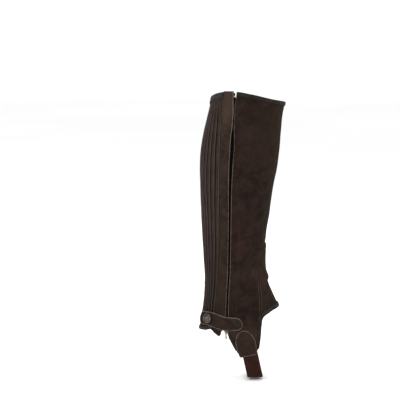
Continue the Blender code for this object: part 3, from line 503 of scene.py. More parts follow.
def tube_faces(count, size, order):
    """Faces that join rings of points each to the next, and a flat face at both ends."""
    faces = []
    for k in range(0, (count - 1) * size, size):
        for m in range(size):
            n = (m + 1) % size
            corners = (k + m, k + size + m, k + size + n, k + n)
            faces.append([corners[i] for i in order])
    way = 1 if order[1] == 1 else -1
    return faces + [list(range(size))[::way], list(range((count - 1) * size, count * size))[::-way]]


def folded_tape(name, angles, heights, leg, panel, side, finish, seams):
    """A tape folded over a raw edge. side is 1 on a top edge and -1 on a hem."""
    rings, shares = [], np.linspace(0, 1, len(angles))
    number = np.arange(len(angles))
    before, after = np.maximum(number - 1, 0), np.minimum(number + 1, len(angles) - 1)
    along = unit(bare_skin(angles[after], heights[after]) - bare_skin(angles[before], heights[before]))
    turn, climb = onto_cloth(angles, heights, along, side)
    for k in number:
        reach = leg(shares[k]) if callable(leg) else leg
        reach += 0.16 * math.sin(k * 0.9) + 0.1 * math.sin(k * 0.37 + 1)
        section = np.array(tape_section(reach, panel))
        ring = (angles[k] + turn[k] * section[:, 1], heights[k] + climb[k] * section[:, 1])
        seam = seams[0] if k == 0 else seams[1] if k == number[-1] else None
        if seam:
            level = heights[k] - side * section[:, 1]
            ring = (seam(level), level)
        rings.append(skin(*ring, section[:, 0]))
    size = len(section)
    faces = tube_faces(len(rings), size, (3, 2, 1, 0) if side > 0 else (0, 1, 2, 3))
    stored = {"onto": np.tile(section[:, 1], len(rings)), "run": np.repeat(number * 1.4, size)}
    return facing_out(made(name, np.concatenate(rings), faces, finish, stored))


def facing_out(piece):
    """Turns a closed piece's faces outward if they point inward."""
    work = bmesh.new()
    work.from_mesh(piece.data)
    if work.calc_volume(signed=True) < 0:
        bmesh.ops.reverse_faces(work, faces=work.faces)
        work.to_mesh(piece.data)
    work.free()
    return piece


# ---------------------------------------------------------------- finishes
def linear(colour, by=1):
    """A photo's colour, scaled, as the shaders count it."""
    return (*(((by * c / 255 + 0.055) / 1.055) ** 2.4 for c in colour), 1.0)


class Finish:
    """A material's nodes, added one at a time."""

    def __init__(self, name, roughness, metallic=0.0, specular=0.3):
        self.material = bpy.data.materials.new(name)
        self.material.use_nodes = True
        self.nodes = self.material.node_tree.nodes
        self.links = self.material.node_tree.links
        self.shader = self.nodes["Principled BSDF"]
        self.set({"Roughness": roughness, "Metallic": metallic, "Specular IOR Level": specular})
        self.place = self.add("TexCoord").outputs["Object"]

    def set(self, values):
        for name, value in values.items():
            self.shader.inputs[name].default_value = value

    def sheen(self, weight, rough, colour):
        self.set({"Sheen Weight": weight, "Sheen Roughness": rough, "Sheen Tint": linear(colour)})

    def add(self, kind, inputs=None, **settings):
        node = self.nodes.new("ShaderNode" + kind)
        for key, value in settings.items():
            setattr(node, key, value)
        for key, value in (inputs or {}).items():
            if isinstance(value, bpy.types.NodeSocket):
                self.links.new(value, node.inputs[key])
            else:
                node.inputs[key].default_value = value
        return node

    def noise(self, scale, detail=3.0, rough=0.55, stretch=None, warp=0.0):
        place = self.place
        if stretch:
            place = self.add("Mapping", {"Vector": place, "Scale": stretch}).outputs[0]
        inputs = {"Vector": place, "Scale": scale, "Detail": detail, "Roughness": rough, "Distortion": warp}
        return self.add("TexNoise", inputs).outputs[0]

    def number(self, name):
        return self.add("Attribute", attribute_name=name, attribute_type="GEOMETRY").outputs["Fac"]

    def fit(self, value, low, high, to_low=0.0, to_high=1.0):
        inputs = {"Value": value, "From Min": low, "From Max": high, "To Min": to_low, "To Max": to_high}
        return self.add("MapRange", inputs, interpolation_type="SMOOTHSTEP").outputs[0]

    def sum(self, kind, a, b):
        return self.add("Math", {0: a, 1: b}, operation=kind).outputs[0]

    def wave(self, value, often):
        return self.sum("SINE", self.sum("MULTIPLY", value, often), 0.0)

    def level(self):
        """The height of a place, in metres."""
        return self.add("SeparateXYZ", {0: self.place}).outputs[2]

    def mix(self, share, a, b):
        return self.add("Mix", {0: share, 6: a, 7: b}, data_type="RGBA").outputs[2]

    def cloudy(self, value, dark, light, low=0.35, high=0.65):
        return self.mix(self.fit(value, low, high), linear(dark), linear(light))

    def layers(self, base, *rows):
        """Each row turns base towards a colour, least at the value low and most at high. by scales the colour."""
        for value, low, high, least, most, colour, by in rows:
            base = self.mix(self.fit(value, low, high, least, most), base, linear(colour, by))
        return base

    def colour(self, socket):
        self.links.new(socket, self.shader.inputs["Base Color"])

    def roughness(self, socket):
        self.links.new(socket, self.shader.inputs["Roughness"])

    def bumps(self, *layers):
        """Each layer is a height socket, its distance in metres and its strength."""
        normal = None
        for height, distance, strength in layers:
            inputs = {"Height": height, "Distance": distance, "Strength": strength}
            if normal:
                inputs["Normal"] = normal
            normal = self.add("Bump", inputs).outputs[0]
        self.links.new(normal, self.shader.inputs["Normal"])


def suede_finish(name, dark, middle, light, edge, warm, olive):
    """Brushed suede: cloudy nap, short fibres, pale cut edges, creases paler on their ridges from rubbing and a
    painted highlight, with painted shade in their troughs.
    """
    f = Finish(name, 0.93, specular=0.05)
    f.sheen(0.03, 0.45, (150, 118, 98))
    cloud = f.noise(46, 5, 0.66, warp=0.5)
    brushed = f.noise(210, 4, 0.6, stretch=(1, 1, 0.32))
    speck = f.noise(1100, 2, 0.5)
    crease, shade, inside = f.number("crease"), f.number("shade"), f.number("inside")
    base = f.layers(
        f.cloudy(cloud, dark, middle, 0.34, 0.56),
        (cloud, 0.5, 0.74, 0, 0.7, light, 1),
        (brushed, 0.5, 0.72, 0, 0.4, light, 1),
        (brushed, 0.28, 0.46, 0.35, 0, dark, 1),
        (f.noise(15, 3, 0.6), 0.44, 0.64, 0, 0.6, warm, 1),
        (f.noise(11, 2, 0.6, stretch=(1.3, 1.3, 0.7)), 0.47, 0.66, 0, 0.5, olive, 1),
        (f.noise(95, 4, 0.7, warp=0.3), 0.5, 0.64, 0, 0.42, light, 1),
        (f.noise(120, 4, 0.7, warp=0.3), 0.5, 0.38, 0, 0.32, dark, 0.7),
        (speck, 0.35, 0.7, 0, 0.3, light, 1),
        # Olive and paler towards the shin's front edge: a painted sheen.
        (f.number("shin"), 0.72, 0.97, 0, 0.5, olive, 1.15),
        # Crease ridges paler: rubbing and a painted highlight. Crease troughs darker: painted shade.
        (crease, 0.3, 1.5, 0, 0.6, light, 1.1),
        (crease, -0.2, -1.4, 0, 0.65, dark, 0.6),
        # Darker low on the leg: painted shade.
        (f.level(), -0.17, -0.25, 0, 0.35, dark, 1),
        # Darker or paler by each piece's shade number; on the outer strip this is painted light and shade.
        (shade, 0, 1, 0, 1, dark, 1),
        (shade, 0, -1, 0, 1, light, 1.15),
    )
    faint = f.sum("MULTIPLY", f.number("line"), f.fit(f.noise(70, 2), 0.4, 0.6, 0.2, 0.75))
    base = f.mix(faint, base, linear(warm))
    rim = f.fit(f.sum("ADD", f.number("edge"), f.fit(f.noise(260, 2), 0.3, 0.7, -0.3, 0.3)), 1.0, 0.4)
    rim = f.sum("MULTIPLY", rim, f.fit(inside, 0.45, 0.1, 0.1, 0.8))
    base = f.mix(rim, base, linear(edge))
    lining = f.sum("MULTIPLY", f.fit(inside, 0.55, 0.95), 0.75)
    f.colour(f.mix(lining, base, linear(middle, 0.8)))
    f.roughness(f.fit(cloud, 0.3, 0.7, 0.97, 0.86))
    f.bumps((cloud, 0.0012, 0.35), (brushed, 0.0006, 0.5), (speck, 0.0004, 0.6))
    return f.material


def elastic_finish():
    """Ribbed elastic: grooves dark with painted shade, a painted highlight beside each, and a fine weave across the
    ribs.
    """
    f = Finish("ribbed elastic", 0.88, specular=0.1)
    f.sheen(0.08, 0.5, (140, 124, 116))
    weave = f.wave(f.number("run"), 7.4)
    threads = f.noise(1100, 2, stretch=(1, 1, 0.25))
    height = f.level()
    f.colour(f.layers(
        f.cloudy(f.noise(60, 4), (34, 25, 22), (47, 35, 31)),
        (threads, 0.35, 0.7, 0, 0.4, (62, 49, 45), 1),
        # Darker low on the leg: painted shade.
        (height, -0.11, -0.23, 0, 0.85, (17, 11, 9), 1),
        (weave, -0.4, 1.0, 0, 0.28, (28, 22, 20), 1),
        # Painted shade in the grooves between ribs.
        (f.number("groove"), 0.1, 0.65, 0, 0.97, (6, 4, 4), 1),
        # Painted highlight on one side of each rib.
        (f.number("crest"), 0.5, 1.0, 0, 0.5, (86, 73, 66), 1),
        # Darker still at the very bottom: painted shade.
        (height, -0.13, -0.24, 0, 0.25, (8, 5, 4), 1),
        (f.number("inside"), 0.55, 0.95, 0, 0.5, (30, 24, 22), 1),
    ))
    f.bumps((weave, 0.00025, 0.55), (threads, 0.0004, 0.5))
    return f.material


def tape_finish(name, dark, light, rib=5.2, shine=0.1):
    """A narrow woven tape, with ribs across it."""
    f = Finish(name, 0.8, specular=shine)
    f.sheen(0.8 * shine, 0.5, (150, 140, 128))
    ribs, rows = f.wave(f.number("run"), rib), f.wave(f.number("onto"), 6.0)
    threads = f.noise(1400, 2)
    f.colour(f.layers(
        f.cloudy(f.noise(90, 4), dark, light),
        (threads, 0.4, 0.7, 0, 0.4, light, 1.2),
        (f.sum("MULTIPLY", ribs, rows), -0.6, 0.8, 0.3, 0, dark, 0.6),
    ))
    f.bumps((f.sum("ADD", ribs, rows), 0.0002, 0.5), (threads, 0.0003, 0.5))
    return f.material


def thread_finish(name, dark, light):
    f = Finish(name, 0.8, specular=0.1)
    twist = f.noise(2600, 2, stretch=(1, 1, 1.8))
    f.colour(f.cloudy(twist, dark, light))
    f.bumps((twist, 0.0002, 0.6))
    return f.material


def plastic_finish(name, dark, light):
    """Dull moulded plastic."""
    f = Finish(name, 0.7, specular=0.03)
    grime = f.noise(700, 3)
    f.colour(f.cloudy(grime, dark, light))
    f.bumps((grime, 0.0001, 0.3))
    return f.material


def metal_finish(name, dark, light, rough, wear=0.3):
    """Worn cast metal: dark in its hollows, rubbed bright on its high places."""
    f = Finish(name, rough, metallic=1.0, specular=0.5)
    stain = f.noise(420, 5, 0.65)
    scratch = f.noise(1800, 3, 0.6, stretch=(1, 0.4, 0.2))
    base = f.cloudy(stain, dark, light, high=0.66)
    base = f.mix(f.fit(scratch, 0.55, 0.75, 0, wear), base, linear([min(255, 1.35 * c) for c in light]))
    base = f.mix(f.sum("MULTIPLY", f.number("hollow"), 0.85), base, linear(dark, 0.35))
    f.colour(base)
    f.roughness(f.fit(stain, 0.3, 0.7, rough + 0.15, rough - 0.08))
    f.bumps((stain, 0.0002, 0.35), (scratch, 0.00006, 0.3))
    return f.material


PANEL_SUEDE = suede_finish(
    "panel suede", (20, 14, 12), (31, 22, 19), (46, 34, 29), (90, 79, 74), (45, 28, 26), (35, 28, 19)
)
STRIP_SUEDE = suede_finish(
    "strip suede", (27, 20, 16), (40, 31, 26), (55, 44, 37), (100, 88, 80), (48, 35, 30), (46, 38, 28)
)
ELASTIC_CLOTH = elastic_finish()
BACK_TAPE = tape_finish("grey edge tape", (29, 27, 26), (47, 43, 42))
EDGE_TAPE = tape_finish("olive edge tape", (22, 19, 15), (38, 34, 27))
STIRRUP_TAPE = tape_finish("stirrup tape", (27, 11, 8), (45, 19, 14), rib=4.0)
# Dark zip cloth and teeth, made darker still and red-brown as painted shade in the zip's gap.
ZIP_TAPE = tape_finish("zip tape", (6, 3, 2), (13, 8, 6), rib=6.0, shine=0.01)
ZIP_TEETH = plastic_finish("zip teeth", (6, 3, 2), (13, 8, 6))
PALE_THREAD = thread_finish("pale thread", (58, 46, 40), (86, 71, 62))
DARK_THREAD = thread_finish("dark brown thread", (26, 19, 16), (46, 36, 30))
THREAD = thread_finish("brown thread", (42, 33, 28), (70, 57, 49))
PEWTER = metal_finish("pewter", (52, 47, 43), (116, 107, 99), 0.42)
NICKEL = metal_finish("nickel", (118, 116, 112), (190, 188, 184), 0.26)


# ---------------------------------------------------------------- cloth pieces
# The dart over the instep: two rows of stitches on each side of the leg, at these angles top and bottom
DART_TOP, DART_BOTTOM = -200.0, -255.0
DARTS = table("top_angle bottom_angle", (47.4, 66.8), (41.8, 62.9), (-47.4, -66.8), (-41.8, -62.9))


def dart_angle(dart):
    def at(height):
        share = (height - DART_TOP) / (DART_BOTTOM - DART_TOP)
        return dart.top_angle + (dart.bottom_angle - dart.top_angle) * share

    return at


def front_panel():
    """Round the shin from the zip to the inner seam. The zip tape's far edge shows through as a faint line."""
    front, back = zip_edge(-1), inner_seam(SEAM / 2)

    def from_zip(angle, height):
        return (front(height) - angle) * degree(angle, height)

    def near_zip(across, angle, height):
        return np.clip(from_zip(angle, height), 0, 8) + 0.2 * soft_step(height, -10, 20)

    def tape_ridge(across, angle, height):
        line = np.exp(-(((from_zip(angle, height) - 13.5) / 1.1) ** 2))
        return 0.8 * (line * soft_step(-height, 40, 64) * soft_step(height, -256, -240))

    def relief(across, angle, height):
        from_seam = (angle - back(height)) * degree(angle, height)
        seam = np.exp(-((from_seam - 2.2) ** 2) / 1.4) * 0.22
        for dart in DARTS:
            off = (angle - dart_angle(dart)(height)) * degree(angle, height)
            ends = soft_step(-height, -DART_TOP, 12 - DART_TOP) * soft_step(height, DART_BOTTOM - 2, DART_BOTTOM + 6)
            seam = seam + 0.35 * np.exp(-((off / 0.9) ** 2)) * ends
        return -0.28 * tape_ridge(across, angle, height) + seam

    # How far round to the shin a place lies, for the painted sheen near the front edge.
    def shin(across, angle, height):
        return np.cos(np.radians(angle))

    def shade(across, angle, height):
        """A little darker up the leg, and paler low on the skirts."""
        return 0.35 * soft_step(height, -160, -90) - 0.55 * soft_step(-height, 255, 282)

    stored = {"edge": near_zip, "line": tape_ridge, "shin": shin, "shade": shade}
    return wall("front_panel_suede", PANEL_SUEDE, (back, front), (TOP, HEM), 150, 250, SUEDE, relief=relief,
                stored=stored, size=(245, 360))


def rear_strip_outer():
    """Between the zip and the elastic, folded over at the top."""

    def folded(height):
        return SUEDE * (1 + soft_step(height, STRIP_TOP - STRIP_FOLD, STRIP_TOP - STRIP_FOLD + 1))

    def top(angle):
        return STRIP_TOP

    def both_edges(across, angle, height):
        return np.minimum(across * 18.0, (1 - across) * 18.0 + 0.45) + 0.3 * soft_step(-height, 50, 90)

    def shade(across, angle, height):
        """Painted light at the top, painted shade down towards the ankle."""
        paler, shaded_down, low = soft_step(height, 20, 80), soft_step(-height, -70, 20), soft_step(-height, 20, 140)
        return 0.28 * shaded_down + 0.07 * low - 0.5 * paler

    edges = (zip_edge(1), outer_seam(-SEAM / 2))
    stored = {"edge": both_edges, "shade": shade}
    return wall("outer_strip_suede", STRIP_SUEDE, edges, (top, HEM), 22, 250, folded, stored=stored, size=(18, 395))


def rear_strip_inner():
    def both_edges(across, angle, height):
        return np.minimum(across, 1 - across) * 16.5 + 0.35

    edges = (elastic_inner_edge(SEAM / 2), inner_seam(-SEAM / 2))
    return wall("inner_strip_suede", STRIP_SUEDE, edges, (TOP, HEM), 20, 240, SUEDE,
                stored={"edge": both_edges}, size=(16.5, 365))


def elastic_back():
    """Ribs that run up and down. A narrow groove, dark with painted shade, parts each from the next."""

    def groove(across, angle, height):
        off = np.abs((across * RIBS + 0.5) % 1 - 0.5) * 2
        wide = 0.3 + 0.3 * soft_step(-height, 140, 230) * (0.7 + 0.3 * np.sin(across * 47 + 1))
        return np.exp(-((off / wide) ** 2)) * (1 - 0.8 * soft_step(height, 60.0, 100.0))

    # Where the painted highlight falls: one side of each rib, stronger low down.
    def crest(across, angle, height):
        off = (across * RIBS + 0.5) % 1
        low = 1 + 0.7 * soft_step(-height, 150, 230)
        return np.exp(-(((off - 0.72) / 0.12) ** 2)) * (1 - 0.6 * soft_step(height, 60.0, 100.0)) * low

    def relief(across, angle, height):
        sway = 0.12 * np.sin(height / 7.0 + across * 40) * soft_step(-height, 120, 220)
        fine = 0.16 * np.exp(-((((across * RIBS) % 1 - 0.5) / 0.06) ** 2))
        return 1.15 * groove(across, angle, height) ** 1.3 + fine + sway

    def run(across, angle, height):
        return height

    return wall("ribbed_elastic_back", ELASTIC_CLOTH, (outer_seam(SEAM / 2), elastic_seam),
                (wrapped(TOP), wrapped(HEM)), 190, 200, ELASTIC, relief=relief,
                stored={"groove": groove, "crest": crest, "run": run}, size=(105, 370))


def edge_tapes():
    """The tapes folded over the raw edges, and the runs of stitches near their free edges."""
    inner, outer, front = elastic_inner_edge(SEAM / 2), outer_seam(SEAM / 2), zip_edge(-1)
    under = angle_at(*FRONT_TAPE_END)
    tapes, runs = [], []

    def tapered(share):
        full = soft_step(min(share, 1 - share), 0.0, HEM_TAPE_TAPER)
        return HEM_TAPE_END + (HEM_TAPE - HEM_TAPE_END) * full

    for node, flat, line, start, stop, step, reach, sewn, seams in (
        ("top_binding_front", (15, 262), TOP, inner(86.0), front(110.0), 1.6, TOP_TAPE, TOP_TAPE - 1.1,
         (inner, front)),
        ("top_binding_back", (23, 88), wrapped(TOP), outer(110.0), elastic_seam(88.0), 1.6, TOP_TAPE_BACK,
         TOP_TAPE_BACK - 1.2, (outer, elastic_seam)),
        ("hem_binding_front", (16, 210), HEM, -under, under, 1.4, tapered, HEM_TAPE - 1.3, (None, None)),
        ("hem_binding_outer", (13, 28), HEM, angle_at(*OUTER_TAPE_START), angle_at(*OUTER_TAPE_END), 1.2, REAR_TAPE,
         None, (None, None)),
        ("hem_binding_inner", (13, 72), HEM, inner(-276.0), angle_at(*INNER_TAPE_START, -1), 1.4, REAR_TAPE,
         REAR_TAPE - 1.1, (inner, None)),
        ("hem_binding_back", (14, 78), wrapped(HEM), outer(-275.0), elastic_seam(-277.0), 1.5, REAR_TAPE,
         REAR_TAPE - 1.1, (outer, elastic_seam)),
    ):
        side = 1 if node.startswith("top") else -1
        at_back = node.endswith("back")
        cloth, finish = (ELASTIC, BACK_TAPE) if at_back else (SUEDE, EDGE_TAPE)
        places = along_edge(line, start, stop, step)
        tape = folded_tape(node.replace("binding", "tape"), *places, reach, cloth, side, finish, seams)
        tapes.append((tape, node, flat, "ribbed_elastic_back" if at_back else "front_panel_suede"))
        if sewn:
            first, last = (start + 2, stop - 2) if seams[0] else (-(stop - 5) * 0.86, (stop - 5) * 0.86)
            angles, heights = along_edge(line, first, last, 2.0)
            along = unit(np.gradient(bare_skin(angles, heights), axis=0))
            turn, climb = onto_cloth(angles, heights, along, side)
            runs.append(run_on_skin(angles + turn * sewn, heights + climb * sewn, SEAM + BINDING))
    return tapes, runs


STRAP_MIDDLE, STRAP_HALF, STRAP_OFF = curves(STRAP_LINE, "angle", "middle", "half_width", "stand_off")
# How much of the finer creases comes through the strap and the patches, and how far in their stitches are
STRAP_FINER, PATCH_FINER = 0.35, 0.4
STRAP_STITCH_IN, PATCH_STITCH_IN = 2.2, 2.3


def strap_places(inset=0.0):
    """The strap's run from end to end: angles, middle heights and half widths."""
    angles, middles = along_edge(STRAP_MIDDLE, STRAP_FRONT_ANGLE, STRAP_BACK_ANGLE, 0.25)
    total = (len(angles) - 1) * 0.25
    radius = STRAP_HALF(STRAP_FRONT_ANGLE) - inset
    ends = inset + radius * (1 - np.cos(np.radians(np.linspace(4, 90, 14))))
    steps = np.concatenate([ends, np.linspace(inset + radius, total - inset - radius, 44)[1:-1], total - ends[::-1]])
    at = np.interp(steps, np.arange(len(angles)) * 0.25, angles)
    end = np.minimum(np.minimum(steps, total - steps) - inset, radius)
    wide = (STRAP_HALF(at) - inset) * np.sqrt(np.maximum(1 - (1 - end / radius) ** 2, 0))
    return at, STRAP_MIDDLE(at), wide


def snap_strap():
    at, centre, wide = strap_places()
    shares = np.concatenate([[1, 0.93, 0.84], np.linspace(0.72, -0.72, 11), [-0.84, -0.93, -1]])
    angle = np.broadcast_to(at[:, None], (len(at), len(shares)))
    height = centre[:, None] + wide[:, None] * shares
    from_side = wide[:, None] * (1 - np.abs(shares))
    number = np.arange(len(at))
    from_end = np.interp(np.minimum(number, number[::-1]), range(13), [0, 0.3, 0.7, 1.2, *range(2, 11)])[:, None]
    from_edge = np.minimum(from_side, from_end)
    crown = SUEDE * (1 - 0.12 * shares**2) - 0.5 * (1 - soft_step(from_edge, -0.5, 1.3))
    groove = 0.16 * np.exp(-(((from_edge - 2.2) / 0.5) ** 2))
    outer = skin(angle, height, STRAP_OFF(angle) + crown - groove, STRAP_FINER)
    inner = skin(angle, height, STRAP_OFF(angle), STRAP_FINER)
    stored = {"edge": from_edge * 0.8, "crease": 0.25 * np.sin(height / 3.0 + angle / 5.0)}
    return shell("snap_strap_suede", outer, inner, STRIP_SUEDE, stored, bulge=0.25)


def patch_outline(inset, count=96):
    """Points evenly spaced round the D, from the middle of its flat edge: across and up, in millimetres."""
    flat = PATCH_HALF - PATCH_NARROWS
    flank = [(flat - 0.2, 0.9), (flat, 2.6)]
    flank += [(PATCH_HALF - PATCH_NARROWS * (1 - up / PATCH_SHOULDER), up) for up in (6, 10, 14.5, 18)]
    ring = [(x, 0.0) for x in np.linspace(-flat * 0.86, flat * 0.86, 12)] + flank
    for turn in np.radians(np.linspace(0, 180, 41)):
        ring.append((PATCH_HALF * math.cos(turn), PATCH_SHOULDER + math.sin(turn) * (PATCH_TALL - PATCH_SHOULDER)))
    ring = np.array(ring + [(-x, up) for x, up in reversed(flank)])
    closed = np.vstack([ring, ring[:1]])
    lengths = run_lengths(closed)
    want = np.linspace(0, lengths[-1], count, endpoint=False)
    even = np.stack([np.interp(want, lengths, closed[:, k]) for k in (0, 1)], -1)
    along = unit(np.roll(even, -1, 0) - np.roll(even, 1, 0))
    return even + inset * np.stack([-along[:, 1], along[:, 0]], -1)


def patch_places(spots, side, inset=9.0):
    """Angles, heights and how far the patch's back stands off the skirt: its round top is pressed down."""
    lean = math.radians(PATCH_LEAN)
    p, q = spots[:, 0], spots[:, 1]
    q = q + PATCH_FOOT_RISE * p * np.maximum(0.0, 1 - q / PATCH_SHOULDER)
    forward = PATCH_FOOT[0] + p * math.cos(lean) - q * math.sin(lean)
    height = PATCH_FOOT[1] + p * math.sin(lean) + q * math.cos(lean)
    lean = math.radians(STIRRUP_LEAN)
    ahead, above = forward - STIRRUP_MIDDLE[0], height - STIRRUP_MIDDLE[1]
    beyond = above * math.cos(lean) - ahead * math.sin(lean) - STIRRUP_END
    pressed = soft_step(beyond, *RIM_CLEAR) * (1 - soft_step(inset, 0.2, 2.4))
    return angle_at(forward, height, side), height, PATCH_OUT + (SEAM - PATCH_OUT) * pressed


def stirrup_patch(name, side):
    """A pad in the shape of a D, from rings of places: its face from the middle out, then its flat back."""
    middle, inmost = np.array([0.0, PATCH_SHOULDER]), patch_outline(4.5)
    steps = ((0.0, 0.62), (0.35, 0.88), (0.9, 1.0), (1.6, 1.0), (2.3, 0.9), (3.0, 1.0), (4.5, 1.02))
    face = [(patch_outline(inset), PATCH_CLOTH * cloth, inset) for inset, cloth in steps]

    def shrunk(share, cloth):
        return middle + (inmost - middle) * share, cloth, 8.0

    face += [shrunk(share, PATCH_CLOTH * 1.04) for share in (0.82, 0.62, 0.42, 0.22, 0.06)]
    back = [shrunk(share, 0.0) for share in (0.06, 0.42, 0.82)]
    back += [(patch_outline(3.0), 0.0, 3.0), (patch_outline(1.6), 0.0, 1.6), (patch_outline(0.0), 0.1, 0.0)]
    points, edges, creases, insides = [], [], [], []
    for number, (spots, cloth, edge) in enumerate(face[::-1] + back[::-1]):
        angle, height, out = patch_places(spots, side, edge)
        cloud = 0.15 * np.sin(spots[:, 0] / 3.1 + 1) * np.sin(spots[:, 1] / 4.3)
        points.append(skin(angle, height, out + cloth + (cloud if edge > 3 and cloth > 0.5 else 0), PATCH_FINER))
        edges.append(np.full(len(spots), edge * 0.8))
        creases.append(cloud)
        insides.append(np.full(len(spots), float(number >= len(face))))
    faces = tube_faces(len(points), len(inmost), (0, 3, 2, 1))
    stored = {"edge": np.concatenate(edges), "crease": np.concatenate(creases), "inside": np.concatenate(insides)}
    return facing_out(made(name, np.concatenate(points), faces, STRIP_SUEDE, stored))


def stirrup_elastic():
    """A loop under the foot, from behind one patch to behind the other."""
    shares = np.linspace(-1, 1, 17)
    halves = []
    for side in (1, -1):
        rows = []
        for p in (*STIRRUP_ON_SKIN, *STIRRUP_BELOW):
            lean = math.radians(p.lean)
            forward = p.forward + shares * STIRRUP_HALF * math.cos(lean)
            height = p.height + shares * STIRRUP_HALF * math.sin(lean)
            if p.aside is None:
                rows.append(skin(angle_at(forward, height, side), height, SEAM, 0.3))
            else:
                rows.append(np.stack([forward, np.full(17, -side * p.aside), height], -1))
        halves.append(rows)
    track = np.array(halves[0] + halves[1][-2::-1])
    lengths = run_lengths(track[:, 8])
    want = np.linspace(0, lengths[-1], 110)
    inner = np.array([np.stack([Curve(zip(lengths, line))(want) for line in track[:, c].T], -1) for c in range(17)])
    away = unit(np.cross(np.gradient(inner, axis=1), np.gradient(inner, axis=0)))
    if away[8, 55, 2] > 0:
        away = -away
    ripple = 0.12 * np.sin(want / 2.6) * np.sin(shares * 2)[:, None]
    outer = inner + away * (WEBBING + ripple)[..., None]
    stored = {"onto": (shares * STIRRUP_HALF)[:, None], "run": want}
    return facing_out(shell("stirrup_elastic_tape", outer, inner, STIRRUP_TAPE, stored, bulge=0.2))


def zip_tapes():
    """The zip's two cloths and the core that its teeth stand on."""
    edge, out = CHAIN_WIDTH / 2, -SUEDE - SEAM

    def strip(name, sides, top, bottom, columns, rows, cloth, out, wide, long):
        ends = [lambda angle, height=height: height for height in (top, bottom)]
        stored = {"onto": lambda across, angle, height: across * wide, "run": lambda across, angle, height: height}
        return wall(name, ZIP_TAPE, sides, ends, columns, rows, cloth, out, stored=stored, size=(wide, long))

    front_sides = (zip_side(-edge - SEAM - TAPE_WIDTH), zip_side(-edge - SEAM))
    rear_sides = [tape_side((end.height, end[k]) for end in TAPE_ENDS) for k in (1, 2)]
    end_rows = [111.6, 111.3, 110.7, 109.7, 108.6, 107.9, 107.6, 107.3]
    end_rows += [106.9, 106.4, 105.9, 105.5, 105.1, 104.9, 104.6]
    heights = np.concatenate([end_rows, np.linspace(ZIP_TOP - 0.6, TAPE_BOTTOM, 150)])
    top = heights[0]
    rear_rows = (top - heights) / (top - TAPE_BOTTOM)
    cloth = (ZIP_CLOTH, out, TAPE_WIDTH, 375)
    return (
        strip("zip_cloth_front", front_sides, ZIP_TOP, TAPE_BOTTOM, 8, 150, *cloth),
        strip("zip_cloth_rear", rear_sides, top, TAPE_BOTTOM, 8, rear_rows, *cloth),
        strip("zip_core", (zip_side(-edge), zip_side(edge)), ZIP_TOP, CHAIN_BOTTOM, 7, 150,
              CHAIN_THICK - 0.7, out - 0.5, CHAIN_WIDTH, 380),
    )


# ---------------------------------------------------------------- sewing and teeth, by Geometry Nodes
def repeat_tree():
    """A small rounded bead at even steps along each run: a stitch, or a tooth of the zip."""
    tree = bpy.data.node_groups.new("beads along a run", "GeometryNodeTree")
    sockets = {"Geometry": "Geometry", "Step": "Float", "Uneven": "Float", "Half size": "Vector", "Seed": "Int",
               "Finish": "Material"}
    for name, kind in sockets.items():
        tree.interface.new_socket(name, in_out="INPUT", socket_type="NodeSocket" + kind)
    tree.interface.new_socket("Geometry", in_out="OUTPUT", socket_type="NodeSocketGeometry")

    def node(kind, inputs=None, **settings):
        new = tree.nodes.new(kind)
        for key, value in settings.items():
            setattr(new, key, value)
        for key, value in (inputs or {}).items():
            new.inputs[key].default_value = value
        return new

    given, output = node("NodeGroupInput"), node("NodeGroupOutput")
    line, tangent = node("GeometryNodeMeshToCurve"), node("GeometryNodeInputTangent")
    evenly = node("GeometryNodeResampleCurve", mode="LENGTH")
    bead = node("GeometryNodeMeshUVSphere", {"Segments": 8, "Rings": 5, "Radius": 1.0})
    facing = node("FunctionNodeAlignRotationToVector", axis="X")
    lifted = node("FunctionNodeAlignRotationToVector", axis="Z", pivot_axis="X")
    lift = node("GeometryNodeInputNamedAttribute", {"Name": "lift"}, data_type="FLOAT_VECTOR")
    vary = node("FunctionNodeRandomValue", data_type="FLOAT")
    smaller = node("ShaderNodeMath", {1: -1.0}, operation="MULTIPLY")
    bigger = node("ShaderNodeMath", {1: 1.0}, operation="ADD")
    scale = node("ShaderNodeVectorMath", operation="SCALE")
    place, real = node("GeometryNodeInstanceOnPoints"), node("GeometryNodeRealizeInstances")
    smooth, finish = node("GeometryNodeSetShadeSmooth"), node("GeometryNodeSetMaterial")
    for source, out, target, into in (
        (given, "Geometry", line, "Mesh"), (line, 0, evenly, "Curve"), (given, "Step", evenly, "Length"),
        (evenly, 0, place, "Points"), (bead, "Mesh", place, "Instance"), (tangent, 0, facing, "Vector"),
        (facing, 0, lifted, "Rotation"), (lift, "Attribute", lifted, "Vector"), (lifted, 0, place, "Rotation"),
        (given, "Uneven", smaller, 0), (smaller, 0, vary, 2), (given, "Uneven", vary, 3),
        (given, "Seed", vary, "Seed"), (vary, 1, bigger, 0), (given, "Half size", scale, 0),
        (bigger, 0, scale, "Scale"), (scale, 0, place, "Scale"), (place, 0, real, 0), (real, 0, smooth, 0),
        (smooth, 0, finish, "Geometry"), (given, "Finish", finish, "Material"), (finish, 0, output, 0),
    ):
        tree.links.new(source.outputs[out], target.inputs[into])
    return tree


BEADS = repeat_tree()


